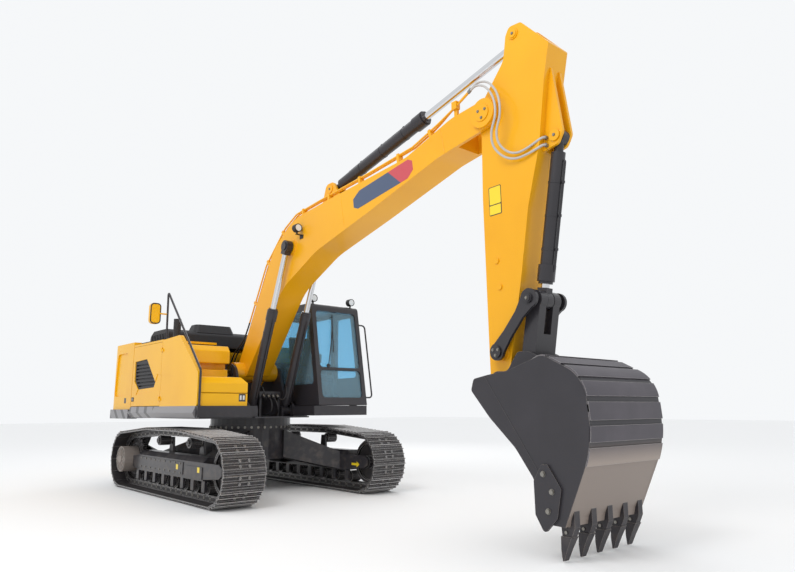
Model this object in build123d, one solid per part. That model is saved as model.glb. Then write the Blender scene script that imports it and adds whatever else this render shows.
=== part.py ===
"""Crawler excavator of the 21-tonne class: crawler undercarriage, slewing upper, boom, stick and bucket.

Millimetres. X runs forward, Y to the driver's left, Z up. The origin is on the ground under the slewing axis.
Every sub-part is written as one STEP file to parts/.
"""

from build123d import *
import math
import os

os.makedirs("parts", exist_ok=True)

# ---------------------------------------------------------------- general clearances
PIN_PLAY = 0.06  # radial play of a greased pin in its bush
SEAT = 0.3  # running gap between two faces on different moving parts
SIDE_GAP = 5.0  # free side gap between a lug and the eye beside it
SEAM = 8.0  # open seam around a door, lid or hood

# ---------------------------------------------------------------- crawler undercarriage
GAUGE = 2380.0  # between the two track centre planes
SHOE_WIDTH = 600.0
SHOE_COUNT = 48
WHEEL_SPAN = 3356.0  # sprocket axle to idler axle
AXLE_HEIGHT = 449.0
GROUSER = 26.0
SHOE_PLATE = 12.0
LINK_HEIGHT = 85.0
LINK_WIDTH = 40.0
LINK_SPREAD = 130.0  # between the centres of a chain's two rows of links
CREST_RISE = 82.0  # the carrier rollers lift the top run this far over the wheels
CARRIER_SPACING = 1240.0
CARRIER_RADIUS = 75.0
CARRIER_PLAY = 3.0  # the slack top run just clears the carrier rollers
ROLLER_COUNT = 8
ROLLER_PITCH = 350.0
ROLLER_RADIUS = 84.0
ROLLER_WIDTH = 172.0
ROLLER_STUB_RADIUS = 42.0
IDLER_WIDTH = 160.0
DRIVE_REACH = 280.0  # the final drive stands out this far from the chain's middle
SPROCKET_TEETH = 22
TOOTH_FORM = ((0.0, 318.0), (0.22, 372.0), (0.5, 372.0), (0.72, 318.0))  # share of a tooth pitch, radius
DRIVE_RIBS = 12
BEAM_WIDTH = 300.0
BEAM_BOTTOM = 300.0
BEAM_TOP = 605.0
BEAM_TO_WHEEL = 468.0  # from a beam's end to the axle of its idler or sprocket
PEDESTAL_LENGTH = 96.0
BEAM_LENGTH = WHEEL_SPAN - 2 * BEAM_TO_WHEEL
PEDESTAL_THICKNESS = 38.0
COVER_PLATE = 10.0  # thickness of the cover plates on a track frame's outer face
COVER_FRONT = 590.0  # where the long cover plate gives way to the one over the recoil spring
DRUM_RADIUS = 590.0
BELLY_HEIGHT = 485.0
RING_HEIGHT = 940.0  # underside of the slewing ring
RING_MIDDLE = 1018.0  # split plane of the slewing ring
RING_RADIUS = 665.0

# ---------------------------------------------------------------- slewing upper
DECK_BOTTOM = 1120.0
DECK_TOP = 1300.0
DECK_FRONT = 1000.0
HOUSE_HALF = 1370.0  # outer side of the housings
HOUSE_TOP = 2340.0
SKIRT_REACH = 45.0  # the deck skirts stand out this far under the housings
WALL = 45.0
REAR_SEAM = -1680.0  # where the housings meet the counterweight
DOOR_HINGES = (1420.0, 2200.0)  # heights of the left doors' hinges
PILLAR = 90.0  # between the two left doors
TAIL = -2930.0
TAIL_CORNER = 320.0
CW_TOP = 2395.0
WEB_INNER = 376.0
WEB_THICKNESS = 40.0
WEB_REAR_TOP = 1420.0
FRAME_REAR = -2260.0  # the welded frame ends on the inner face of the counterweight
CAB_MOUNT = 6.0  # rubber discs under the cab's corners

# ---------------------------------------------------------------- pins of the front, as (x, z)
BOOM_FOOT = (20.0, 1850.0)
BOOM_CYL_BASE = (530.0, 1225.0)
BOOM_CYL_EYE = (1480.0, 3660.0)
STICK_CYL_BASE = (2290.0, 4400.0)
STICK_PIN = (5385.0, 4415.0)
STICK_CYL_EYE = (5790.0, 5200.0)
BUCKET_CYL_BASE = (6196.0, 3932.0)
ROCKER_PIN = (5485.0, 1808.0)
LINK_PIN = (5906.0, 2301.0)
BUCKET_PIN = (5450.0, 1490.0)
BUCKET_LINK_PIN = (5800.0, 1690.0)

# ---------------------------------------------------------------- widths of the front, from the centre plane
BOOM_HALF = 210.0
FOOT_HALF = WEB_INNER - SIDE_GAP
FORK_INNER = 170.0
FORK_BOSS = 250.0
STICK_HALF = FORK_INNER - SIDE_GAP
BOOM_CYL_OFFSET = 298.0
EYE_WIDTH = 100.0
EAR_INNER = STICK_HALF + SIDE_GAP
EAR_THICKNESS = 40.0
ROCKER_INNER = EAR_INNER + EAR_THICKNESS + SIDE_GAP
ROCKER_THICKNESS = 35.0
BUCKET_HALF = 590.0


# ---------------------------------------------------------------- shape helpers
def side_face(outline, y):
    """An outline in x and z, as a face in the plane at y."""
    return Plane((0, y, 0), x_dir=(1, 0, 0), z_dir=(0, -1, 0)) * outline


def slab(outline, y, width):
    """Solid of the given width with an x-z outline, centred on y."""
    return extrude(side_face(outline, y), amount=width / 2, both=True)


def shape(*points):
    """Straight-sided outline through the points."""
    return Polygon(*points, align=None)


def rounded(points, radii):
    """Outline through the points with one corner radius for each."""
    return make_face(FilletPolyline(*points, radius=radii, close=True))


def pin(centre, y, radius, width):
    """Round solid on an axis along Y, centred on y."""
    return Plane((centre[0], y, centre[1]), z_dir=(0, 1, 0)) * Cylinder(radius, width)


def drum(centre, y, radius, width, sides=24):
    """Many-sided prism for what is round but repeats or hides, on an axis along Y."""
    plane = Plane((centre[0], y, centre[1]), z_dir=(0, 1, 0))
    return extrude(plane * RegularPolygon(radius, sides), amount=width / 2, both=True)


def disc(x, y, z, radius, height, sides=24):
    """Many-sided upright prism standing at a height."""
    return extrude(Plane((x, y, z)) * RegularPolygon(radius, sides), amount=height, dir=(0, 0, 1))


def block(x, y, z):
    """Box between two limits on each axis."""
    size = (x[1] - x[0], y[1] - y[0], z[1] - z[0])
    middle = ((x[0] + x[1]) / 2, (y[0] + y[1]) / 2, (z[0] + z[1]) / 2)
    return Pos(*middle) * Box(*size)


def bar(outline, x):
    """Solid with a y-z outline between two x positions."""
    face = Plane((x[0], 0, 0), x_dir=(0, 1, 0), z_dir=(1, 0, 0)) * outline
    return extrude(face, amount=x[1] - x[0], dir=(1, 0, 0))


def tube(points, radius, bends):
    """Round bar along a path with bent corners."""
    path = FilletPolyline(*points, radius=bends) if len(points) > 2 else Line(*points)
    start = Plane(origin=path @ 0, z_dir=path % 0)
    return sweep(start * Circle(radius), path=path)


def along(start, end):
    """Length and unit direction from one x-z point to another."""
    length = math.dist(start, end)
    return length, ((end[0] - start[0]) / length, (end[1] - start[1]) / length)


def rod_between(start, end, y, radius, first, last):
    """Round bar on the line between two x-z points, from one distance to another."""
    length, (dx, dz) = along(start, end)
    origin = (start[0] + dx * first, y, start[1] + dz * first)
    return extrude(Plane(origin, z_dir=(dx, 0, dz)) * Circle(radius), amount=last - first)


def save(name, solids):
    """Write one sub-part as parts/NAME.step."""
    pieces = solids if isinstance(solids, list) else [solids]
    bodies = [body for piece in pieces for body in piece.solids()]
    export_step(bodies[0] if len(bodies) == 1 else Compound(children=bodies), f"parts/{name}.step")


HINGE_RADIUS = 10.0
HINGE_STANDOFF = 13.0
HINGE_LEAF = 32.0
HINGE_REACH = 52.0


def hinge(origin, axis, moving_side):
    """Two hinge leaves on a panel, moving and fixed. The panel's face is one standoff inside."""
    frame = Plane(origin, x_dir=moving_side, z_dir=axis)

    def leaf(side, low, high):
        middle = (low + high) / 2
        knuckle = Pos(0, 0, middle) * Cylinder(HINGE_RADIUS, high - low)
        strap = Pos(side * HINGE_REACH / 2, 0, middle) * Box(HINGE_REACH, 6, high - low)
        return knuckle, strap, middle, high - low

    inward = -1 if (frame.y_dir.Y * origin[1] > 0 or frame.y_dir.Z > 0.5) else 1
    leaves = []
    for side, low, high in ((1, SEAT / 2, HINGE_LEAF), (-1, -HINGE_LEAF, -SEAT / 2)):
        knuckle, strap, middle, height = leaf(side, low, high)
        depth = HINGE_STANDOFF
        foot = Pos(side * (HINGE_REACH - 12), inward * depth / 2, middle) * Box(24, depth, height)
        leaves.append(frame * (knuckle + strap + foot))
    return leaves


def hinge_axis(x, y, z, out=(0, 1, 0)):
    """A point one hinge standoff outside the panel point."""
    return tuple(v + o * HINGE_STANDOFF for v, o in zip((x, y, z), out))


# ---------------------------------------------------------------- tracks
HALF_SPAN = WHEEL_SPAN / 2
PIN_TO_PLATE = LINK_HEIGHT / 2 + SHOE_PLATE
CHAIN_RADIUS = AXLE_HEIGHT - GROUSER - PIN_TO_PLATE  # of the pins round a wheel
SHOE_MIDDLE, SHOE_FOOT, SHOE_EDGE = 0.40, 0.07, 0.475  # in shoe pitches


def chain_loop():
    """The closed line of the chain pins: its straight and round stretches in order."""
    run, rise = HALF_SPAN - CARRIER_SPACING / 2, CHAIN_RADIUS + CREST_RISE
    climb = math.degrees(math.atan2(rise, run))
    leave = 180 - climb - math.degrees(math.acos(CHAIN_RADIUS / math.hypot(run, rise)))
    slope = math.sqrt(run**2 + rise**2 - CHAIN_RADIUS**2)
    wrap = math.radians(leave + 90) * CHAIN_RADIUS
    # kind, length, start x, start z (or the wheel's centre), heading at the start
    crest = AXLE_HEIGHT + rise
    lift = (
        HALF_SPAN + CHAIN_RADIUS * math.cos(math.radians(leave)),
        AXLE_HEIGHT + CHAIN_RADIUS * math.sin(math.radians(leave)),
    )
    return [
        ("run", WHEEL_SPAN, -HALF_SPAN, AXLE_HEIGHT - CHAIN_RADIUS, 0),
        ("wrap", wrap, HALF_SPAN, AXLE_HEIGHT, 0),
        ("run", slope, lift[0], lift[1], leave + 90),
        ("run", CARRIER_SPACING, CARRIER_SPACING / 2, crest, 180),
        ("run", slope, -CARRIER_SPACING / 2, crest, 270 - leave),
        ("wrap", wrap, -HALF_SPAN, AXLE_HEIGHT, 270 - leave),
    ]


LOOP = chain_loop()
SHOE_PITCH = sum(piece[1] for piece in LOOP) / SHOE_COUNT


def chain_frame(distance):
    """Position and heading in degrees at a distance along the chain."""
    for kind, length, x, z, heading in LOOP:
        if distance <= length:
            break
        distance -= length
    if kind == "run":
        turn = math.radians(heading)
        return x + distance * math.cos(turn), z + distance * math.sin(turn), turn
    turn = math.radians(heading) + distance / CHAIN_RADIUS
    return x + CHAIN_RADIUS * math.sin(turn), z - CHAIN_RADIUS * math.cos(turn), turn


def chain_point(distance, ahead, out):
    """A point beside the chain, in the frame of one link."""
    x, z, turn = chain_frame(distance)
    return (
        x + ahead * math.cos(turn) + out * math.sin(turn),
        z + ahead * math.sin(turn) - out * math.cos(turn),
    )


def shoe_line():
    """Outer line of all shoes: three grouser bars on each flat plate."""
    tip = PIN_TO_PLATE + GROUSER
    # share of a pitch ahead of the shoe's middle, height over the pin line
    bars = [(-SHOE_EDGE, PIN_TO_PLATE)]
    for middle in (-SHOE_MIDDLE, 0, SHOE_MIDDLE):
        left = (middle - SHOE_FOOT, PIN_TO_PLATE)
        right = (middle + SHOE_FOOT, PIN_TO_PLATE)
        bars += [point for point in (left, (middle, tip), right) if abs(point[0]) < SHOE_EDGE - 0.01]
    bars += [(SHOE_EDGE, PIN_TO_PLATE)]
    points = []
    for shoe in range(SHOE_COUNT):
        middle = (shoe + 0.5) * SHOE_PITCH
        points += [chain_point(middle, share * SHOE_PITCH, out) for share, out in bars]
    return points


def joint_line(out):
    """Closed line through the joints between the links, at one height over the pins."""
    return [chain_point(joint * SHOE_PITCH, 0, out) for joint in range(SHOE_COUNT)]


def track(side):
    """One endless track: the shoes and, inside them, the two rows of chain links."""
    middle = side * GAUGE / 2
    shoes = shape(*shoe_line()) - shape(*joint_line(PIN_TO_PLATE - SHOE_PLATE))
    links = shape(*joint_line(PIN_TO_PLATE - SHOE_PLATE / 2)) - shape(*joint_line(-LINK_HEIGHT / 2))
    loop = slab(shoes, middle, SHOE_WIDTH)
    for row in (-1, 1):
        loop += slab(links, middle + row * LINK_SPREAD / 2, LINK_WIDTH)
    return loop


LINK_FACE = CHAIN_RADIUS - LINK_HEIGHT / 2  # radius of the links' inner edge round a wheel
WHEEL_RADIUS = LINK_FACE * math.cos(math.radians(15)) - 1
FLANGE_WIDTH = LINK_SPREAD - LINK_WIDTH - 2 * SIDE_GAP
ROLLER_HEIGHT = AXLE_HEIGHT - CHAIN_RADIUS + LINK_HEIGHT / 2 + ROLLER_RADIUS + SEAT
CARRIER_HEIGHT = AXLE_HEIGHT + CHAIN_RADIUS + CREST_RISE - LINK_HEIGHT / 2 - CARRIER_RADIUS - CARRIER_PLAY
CARRIER_PLACE = CARRIER_SPACING / 2 - 60
STUB_END = BEAM_WIDTH / 2 - PEDESTAL_THICKNESS

for name, side in (("right", -1), ("left", 1)):
    save(f"track_{name}", track(side))


def roller(axle, y, radius):
    """Plain roller with the ends of its axle."""
    return drum(axle, y, radius, ROLLER_WIDTH, 16) + drum(axle, y, ROLLER_STUB_RADIUS, 2 * STUB_END, 6)


rollers, carriers, idlers, sprockets, drives = [], [], [], [], []
for side in (-1, 1):
    middle = side * GAUGE / 2
    for place in range(ROLLER_COUNT):
        axle = ((place - (ROLLER_COUNT - 1) / 2) * ROLLER_PITCH, ROLLER_HEIGHT)
        rollers.append(roller(axle, middle, ROLLER_RADIUS))
    for x in (-CARRIER_PLACE, CARRIER_PLACE):
        axle = (x, CARRIER_HEIGHT)
        carriers.append(roller(axle, middle, CARRIER_RADIUS))
    # idler: two treads, a guide flange between the link rows, thin web, hub
    front = (HALF_SPAN, AXLE_HEIGHT)
    rim = drum(front, middle, WHEEL_RADIUS, IDLER_WIDTH, 36)
    rim -= drum(front, middle, WHEEL_RADIUS - 45, IDLER_WIDTH + 2, 18)
    web = drum(front, middle, WHEEL_RADIUS - 20, 60, 18) + drum(front, middle, 95, 2 * STUB_END, 12)
    idlers.append(rim + web + drum(front, middle, WHEEL_RADIUS + 26, FLANGE_WIDTH, 36))
    # sprocket: toothed plate between the link rows, bolted to the final drive
    rear = (-HALF_SPAN, AXLE_HEIGHT)
    teeth = []
    for tooth in range(SPROCKET_TEETH):
        for share, radius in TOOTH_FORM:
            turn = 2 * math.pi * (tooth + share) / SPROCKET_TEETH
            teeth.append((rear[0] + radius * math.cos(turn), rear[1] + radius * math.sin(turn)))
    hub = drum(rear, middle, 250, FLANGE_WIDTH, 24)
    sprockets.append(slab(shape(*teeth), middle, FLANGE_WIDTH - 20) + hub)
    # final drive: motor on the inner side, ribbed cover on the outer side
    inner_face = middle - side * FLANGE_WIDTH / 2
    outer_face = middle + side * FLANGE_WIDTH / 2
    motor_end = middle - side * STUB_END
    cover_end = middle + side * DRIVE_REACH
    cover = drum(rear, (outer_face + cover_end) / 2, 205, abs(cover_end - outer_face), 24)
    for rib in range(DRIVE_RIBS):
        turn = 360 * rib / DRIVE_RIBS
        cover += Pos(rear[0], cover_end + side * 6, rear[1]) * Rot(0, turn, 0) * Pos(120, 0, 0) * Box(
            110, 12, 16
        )
    cover += drum(rear, cover_end + side * 8, 62, 16, 12)
    drives.append(cover)
    drives.append(drum(rear, (inner_face + motor_end) / 2, 225, abs(motor_end - inner_face), 24))

save("bottom_rollers", rollers)
save("carrier_rollers", carriers)
save("idlers", idlers)
save("sprockets", sprockets)
save("final_drives", drives)


# ---------------------------------------------------------------- track frames
def track_frame(side):
    """Box beam with roller pedestals, idler yoke, final-drive plate, cover plate and carrier brackets."""
    middle = side * GAUGE / 2
    half = BEAM_WIDTH / 2
    end = BEAM_LENGTH / 2
    shoulder = BEAM_TOP - 65
    section = shape(
        (middle - half, BEAM_BOTTOM),
        (middle + half, BEAM_BOTTOM),
        (middle + half, shoulder),
        (middle + half - 70, BEAM_TOP),
        (middle - half + 70, BEAM_TOP),
        (middle - half, shoulder),
    )
    frame = bar(section, (-end, end))
    for edge in (-1, 1):
        wall = middle + edge * (half - PEDESTAL_THICKNESS / 2)
        faces = (wall - PEDESTAL_THICKNESS / 2, wall + PEDESTAL_THICKNESS / 2)
        yoke = shape(
            (end - 5, BEAM_BOTTOM + 20), (HALF_SPAN, AXLE_HEIGHT - 90), (HALF_SPAN + 85, AXLE_HEIGHT - 40),
            (HALF_SPAN + 85, AXLE_HEIGHT + 40), (HALF_SPAN, AXLE_HEIGHT + 90), (end - 5, shoulder),
        )
        frame += slab(yoke, wall, PEDESTAL_THICKNESS)
        for place in range(ROLLER_COUNT):
            x = (place - (ROLLER_COUNT - 1) / 2) * ROLLER_PITCH
            low = ROLLER_HEIGHT - ROLLER_STUB_RADIUS - 8
            frame += block((x - PEDESTAL_LENGTH / 2, x + PEDESTAL_LENGTH / 2), faces, (low, BEAM_BOTTOM + 5))
    inner = middle - side * (half - PEDESTAL_THICKNESS / 2)
    outer = middle + side * (half - PEDESTAL_THICKNESS / 2)
    plate = shape(
        (-end + 5, BEAM_BOTTOM), (-HALF_SPAN - 60, AXLE_HEIGHT - 225), (-HALF_SPAN - 230, AXLE_HEIGHT - 70),
        (-HALF_SPAN - 230, AXLE_HEIGHT + 70), (-HALF_SPAN - 60, AXLE_HEIGHT + 225), (-end + 5, BEAM_TOP - 10),
    )
    frame += slab(plate, inner, PEDESTAL_THICKNESS)
    guard_rear = -HALF_SPAN + 205 + 2 * SIDE_GAP
    guard = shape(
        (-end + 5, BEAM_BOTTOM), (guard_rear, BEAM_BOTTOM + 40), (guard_rear, shoulder - 40),
        (-end + 5, shoulder),
    )
    frame += slab(guard, outer, PEDESTAL_THICKNESS)
    # cover plate along the rear two thirds of the outer face, and the spring's round housing ahead of it
    face = sorted((middle + side * (half - 1), middle + side * (half + COVER_PLATE)))
    frame += block((guard_rear + 30, COVER_FRONT - 35), face, (BEAM_BOTTOM + 45, shoulder - 25))
    frame += block((COVER_FRONT + 35, end - 20), face, (BEAM_BOTTOM + 20, shoulder - 60))
    for x in (-CARRIER_PLACE, CARRIER_PLACE):
        top = CARRIER_HEIGHT + ROLLER_STUB_RADIUS + 6
        post = shape((x - 80, BEAM_TOP - 70), (x + 80, BEAM_TOP - 70), (x + 48, top), (x - 48, top))
        frame += slab(post, inner, PEDESTAL_THICKNESS)
    return frame


for name, side in (("right", -1), ("left", 1)):
    save(f"track_frame_{name}", track_frame(side))


# ---------------------------------------------------------------- car body and slewing ring
def leg(front, side):
    """Tapered box leg from the centre drum to a track frame."""
    reach = GAUGE / 2 - BEAM_WIDTH / 2
    sections = []
    # distance from the centre plane, middle x and z, length and height of the section
    for y, x, z, length, height in ((300, 330, 715, 430, 420), (reach, 820, 445, 440, 270)):
        plane = Plane((front * x, side * y, z), x_dir=(1, 0, 0), z_dir=(0, side, 0))
        sections.append(plane * Rectangle(length, height))
    return loft(sections, ruled=True)


car_body = disc(0, 0, BELLY_HEIGHT, DRUM_RADIUS, RING_HEIGHT - BELLY_HEIGHT, 32)
for front in (-1, 1):
    for side in (-1, 1):
        car_body += leg(front, side)
save("car_body", car_body)

# lower ring: a bolting flange on the drum, then the wider toothed ring
lower_height = RING_MIDDLE - SEAT / 2 - RING_HEIGHT
slewing_ring = disc(0, 0, RING_HEIGHT, DRUM_RADIUS + 45, lower_height / 2, 40)
slewing_ring += disc(0, 0, RING_HEIGHT + lower_height / 2, RING_RADIUS - 25, lower_height / 2, 40)
save("slewing_ring", slewing_ring)


# ---------------------------------------------------------------- revolving frame
SKIRT_INNER = HOUSE_HALF - 60
FOOT_BOSS = 16.0  # the boom foot's bosses are this much thicker than the webs


def revolving_frame():
    """Welded centre section: ring plate, two tall webs with the boom ears, and the side decks."""
    bottom = DECK_BOTTOM + 20
    frame = block((FRAME_REAR, DECK_FRONT), (-470, 470), (DECK_BOTTOM, bottom))
    ring_low = RING_MIDDLE + SEAT / 2
    frame += disc(0, 0, ring_low, RING_RADIUS - 30, DECK_BOTTOM + 5 - ring_low, 40)
    foot, base = BOOM_FOOT, BOOM_CYL_BASE
    web = rounded(
        [
            (FRAME_REAR, bottom - 5), (base[0] + 130, bottom - 5), (base[0] + 130, base[1] + 95),
            (foot[0] + 330, foot[1] - 330), (foot[0] + 165, foot[1] + 60), (foot[0] - 60, foot[1] + 165),
            (foot[0] - 190, foot[1] - 60), (-700, WEB_REAR_TOP), (FRAME_REAR, WEB_REAR_TOP),
        ],
        [0, 40, 80, 120, 130, 130, 130, 200, 0],
    )
    for side in (-1, 1):
        frame += slab(web, side * (WEB_INNER + WEB_THICKNESS / 2), WEB_THICKNESS)
        boss = WEB_THICKNESS + FOOT_BOSS
        frame += drum(foot, side * (WEB_INNER + boss / 2), 105, boss)
    frame += pin(foot, 0, 55, 2 * (WEB_INNER + boss) + 10)
    frame += block((REAR_SEAM, DECK_FRONT - 60), (-SKIRT_INNER, -405), (DECK_BOTTOM, DECK_TOP))
    frame += block((DECK_FRONT - 65, DECK_FRONT), (-HOUSE_HALF, -540), (DECK_BOTTOM + 20, DECK_TOP))
    frame += block((REAR_SEAM, -440), (405, SKIRT_INNER), (DECK_BOTTOM, DECK_TOP))
    frame += block((-445, CAB_FRONT - 10), (405, CAB_LEFT), (DECK_BOTTOM + 30, DECK_TOP))
    for x in (CAB_REAR + 120, CAB_FRONT - 220):
        for y in (CAB_RIGHT + 120, CAB_LEFT - 120):
            frame += disc(x, y, DECK_TOP - 1, 65, CAB_MOUNT + 1, 12)
    return frame


def cylinder_ears():
    """Clevis of each boom cylinder: an inner lug, an outer boss on the web, and the pin through both."""
    base = BOOM_CYL_BASE
    low = DECK_BOTTOM + 20
    eye_inner = BOOM_CYL_OFFSET - EYE_WIDTH / 2 - SIDE_GAP
    eye_outer = BOOM_CYL_OFFSET + EYE_WIDTH / 2 + SIDE_GAP
    lug = rounded(
        [
            (base[0] - 130, low), (base[0] + 80, low), (base[0] + 80, base[1] + 70),
            (base[0] - 90, base[1] + 70),
        ],
        [0, 0, 70, 70],
    )
    ears = []
    for side in (-1, 1):
        ear = slab(lug, side * (eye_inner - 16), 32)
        ear += drum(base, side * (eye_outer + WEB_INNER) / 2, 80, WEB_INNER - eye_outer)
        ears.append(ear + pin(base, side * (eye_inner + WEB_INNER - 32) / 2, 45, WEB_INNER - eye_inner + 32))
    return ears


# ---------------------------------------------------------------- skirts under the housings
def skirt(x, side):
    """Rail with a bevelled edge, folded out along one side of the upper."""
    section = shape(
        (side * SKIRT_INNER, DECK_BOTTOM), (side * SKIRT_INNER, DECK_TOP), (side * HOUSE_HALF, DECK_TOP),
        (side * (HOUSE_HALF + SKIRT_REACH), DECK_TOP - 95), (side * HOUSE_HALF, DECK_BOTTOM),
    )
    return bar(section, x)


def tail_skirt():
    """Rim under the counterweight that carries the side skirts round the tail."""
    half, out = HOUSE_HALF, HOUSE_HALF + SKIRT_REACH - 5
    start = REAR_SEAM - SEAM
    plan = FilletPolyline(
        (start, out), (TAIL + 130, out), (TAIL - 40, 620), (TAIL - 40, -620), (TAIL + 130, -out),
        (start, -out),
        (start, -half + 120), (FRAME_REAR, -half + 120), (FRAME_REAR, half - 120), (start, half - 120),
        radius=[0, TAIL_CORNER, 500, 500, TAIL_CORNER, 0, 0, 0, 0, 0],
        close=True,
    )
    low = DECK_BOTTOM - 20
    return extrude(Plane.XY.offset(low) * make_face(plan), amount=RIM_TOP - low)


RIM_TOP = DECK_TOP - 45  # the counterweight stands on its rim at this height
save("deck_skirts", [skirt((REAR_SEAM, DECK_FRONT - 66), -1), skirt((REAR_SEAM, -446), 1), tail_skirt()])


# ---------------------------------------------------------------- cab sizes
CAB_REAR = -420.0
CAB_FRONT = 1250.0
CAB_RIGHT = 490.0
CAB_LEFT = HOUSE_HALF + 58
CAB_FLOOR = DECK_TOP + CAB_MOUNT
CAB_TOP = 2950.0
CAB_LEAN = 285.0  # the front leans back this far up to the roof
CAB_WALL = 62.0
DOOR_REAR = 350.0
GLASS = 8.0
GLASS_PLAY = 0.5

save("revolving_frame", revolving_frame())
save("boom_cylinder_ears", cylinder_ears())


# ---------------------------------------------------------------- counterweight
def counterweight():
    """Cast counterweight: a thick crescent whose sides wrap forward round the engine."""
    half = HOUSE_HALF
    plan = FilletPolyline(
        (REAR_SEAM - SEAM, half), (TAIL + 150, half), (TAIL, 620), (TAIL, -620), (TAIL + 150, -half),
        (REAR_SEAM - SEAM, -half),
        (REAR_SEAM - SEAM, -half + 120), (-2180, -half + 120), (-2320, -960), (-2320, 960),
        (-2180, half - 120), (REAR_SEAM - SEAM, half - 120),
        radius=[0, TAIL_CORNER, 500, 500, TAIL_CORNER, 0, 0, 90, 90, 90, 90, 0],
        close=True,
    )
    body = extrude(Plane.XY.offset(RIM_TOP) * make_face(plan), amount=CW_TOP - RIM_TOP)
    # upright recess pressed into each side
    for side in (-1, 1):
        recess = rounded([(-2560, 1480), (-1960, 1480), (-1960, 2230), (-2480, 2230)], [70, 70, 70, 70])
        body -= slab(recess, side * half, 50)
    for z in DOOR_HINGES:
        body += hinge(hinge_axis(REAR_SEAM + SEAM, HOUSE_HALF, z), (0, 0, 1), (1, 0, 0))[1]
    return body


save("counterweight", counterweight())
save("engine_block", block((-2120, -1330), (-620, 560), (WEB_REAR_TOP, 2080)))


# ---------------------------------------------------------------- housings, doors, hood
RIGHT_DOOR = (REAR_SEAM + SEAM, -410.0)
LEFT_DOOR_SPLIT = -1070.0
LEFT_FRONT = -470.0
DOOR_LOW = DECK_TOP + SEAM
DOOR_TOP = HOUSE_TOP - 40
GUARD_FRONT = DECK_FRONT - 40
HOOD_FRONT = -1280.0
HOOD_REAR = -2165.0
HOOD_HALF = HOUSE_HALF - 135
HOOD_TOP = 2640.0
HOOD_PLATE = 40.0  # thickness of the flat surround of the raised hood
HOOD_RIB_PITCH = 75.0
HOOD_HINGES = [(HOOD_FRONT + 20, y, HOUSE_TOP + HINGE_STANDOFF) for y in (-900, 900)]
GRILLE = ((-1580, 2050), (-1050, 2070), (-640, 1690), (-700, 1600), (-1385, 1580), (-1570, 1720))
GRILLE_LIP = 18.0  # the grille's flange behind the door
GRILLE_SET = 14.0  # the grille lies this far inside the door's face
SLOT_PITCH = 58.0
BAND = ((-1474, 1495), (300, 1594), (78, 1762), (-560, 1800), (-640, 1690), (-700, 1600), (-1385, 1580))
BAND_DEPTH = 8.0
RIGHT_HINGES = (1420.0, 2180.0)


def pressed_band():
    """Shallow pressed band across the right side, to be cut from its face."""
    return slab(shape(*BAND), -HOUSE_HALF, 2 * BAND_DEPTH)


def right_door():
    """Side door with a six-sided opening for its air grille and the pressed band below it."""
    rear, front = RIGHT_DOOR
    edge = front - SEAM
    face = rounded([(rear, DOOR_LOW), (edge, DOOR_LOW), (edge, DOOR_TOP), (rear, DOOR_TOP)], [12, 12, 12, 12])
    door = slab(face, -HOUSE_HALF + WALL / 2, WALL)
    door -= slab(shape(*GRILLE), -HOUSE_HALF + WALL / 2, WALL + 2)
    door -= pressed_band()
    for z in RIGHT_HINGES:
        door += hinge(hinge_axis(front, -HOUSE_HALF, z, (0, -1, 0)), (0, 0, 1), (-1, 0, 0))[0]
    return door


def right_grille():
    """Slotted air grille set in the door's opening, with a flange against the door's inner face."""
    opening = make_face(Polyline(*GRILLE, close=True))
    depth = WALL - GRILLE_SET
    insert = slab(offset(opening, amount=-1), -HOUSE_HALF + GRILLE_SET + depth / 2, depth)
    low, high = min(z for x, z in GRILLE), max(z for x, z in GRILLE)
    for step in range(int((high - low - 40) / SLOT_PITCH)):
        z = low + 40 + step * SLOT_PITCH
        zone = slab(offset(opening, amount=-35), -HOUSE_HALF + GRILLE_SET, 2 * (depth - 8))
        insert -= zone & block((GRILLE[0][0], GRILLE[2][0]), (-HOUSE_HALF, -HOUSE_HALF + WALL), (z, z + 26))
    flange = slab(offset(opening, amount=GRILLE_LIP, kind=Kind.INTERSECTION), -HOUSE_HALF + WALL + 4, 8)
    return insert + flange


def right_housing():
    """Fixed panels beside and over the pump bay, with the sloping side guard of the steps."""
    rear, front = REAR_SEAM + SEAM, RIGHT_DOOR[1]
    guard = rounded(
        [
            (front, DECK_TOP), (GUARD_FRONT, DECK_TOP), (GUARD_FRONT, 1770), (240, HOUSE_TOP + 15),
            (front, HOUSE_TOP - 10),
        ],
        [0, 30, 60, 60, 0],
    )
    panel = slab(guard, -HOUSE_HALF + GUARD_WIDTH / 2, GUARD_WIDTH) - pressed_band()
    panel += block((rear, TANK_REAR), (-HOUSE_HALF, -470), (HOUSE_TOP - 35, HOUSE_TOP))
    panel += block((rear, rear + 30), (-HOUSE_HALF + WALL + 30, -700), (DECK_TOP, HOUSE_TOP - 30))
    for z in RIGHT_HINGES:
        panel += hinge(hinge_axis(front, -HOUSE_HALF, z, (0, -1, 0)), (0, 0, 1), (-1, 0, 0))[1]
    return panel + hinge(HOOD_HINGES[0], (0, 1, 0), (-1, 0, 0))[1]


GUARD_WIDTH = 60.0
TANK_REAR = -395.0
TANK_FRONT = 150.0
STEP_SPLIT = 215.0  # between the tank and the tool box ahead of it
BOX_INNER = -585.0
BOX_OUTER = -HOUSE_HALF + GUARD_WIDTH + 5  # the tank and the tool box stand just inside the guard
BOX_FRONT = GUARD_FRONT - 10
LID_LOW = 1485.0
LID_TOP = 1715.0
LID_HINGE_PLACES = (BOX_OUTER + 160, BOX_INNER - 260)


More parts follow.
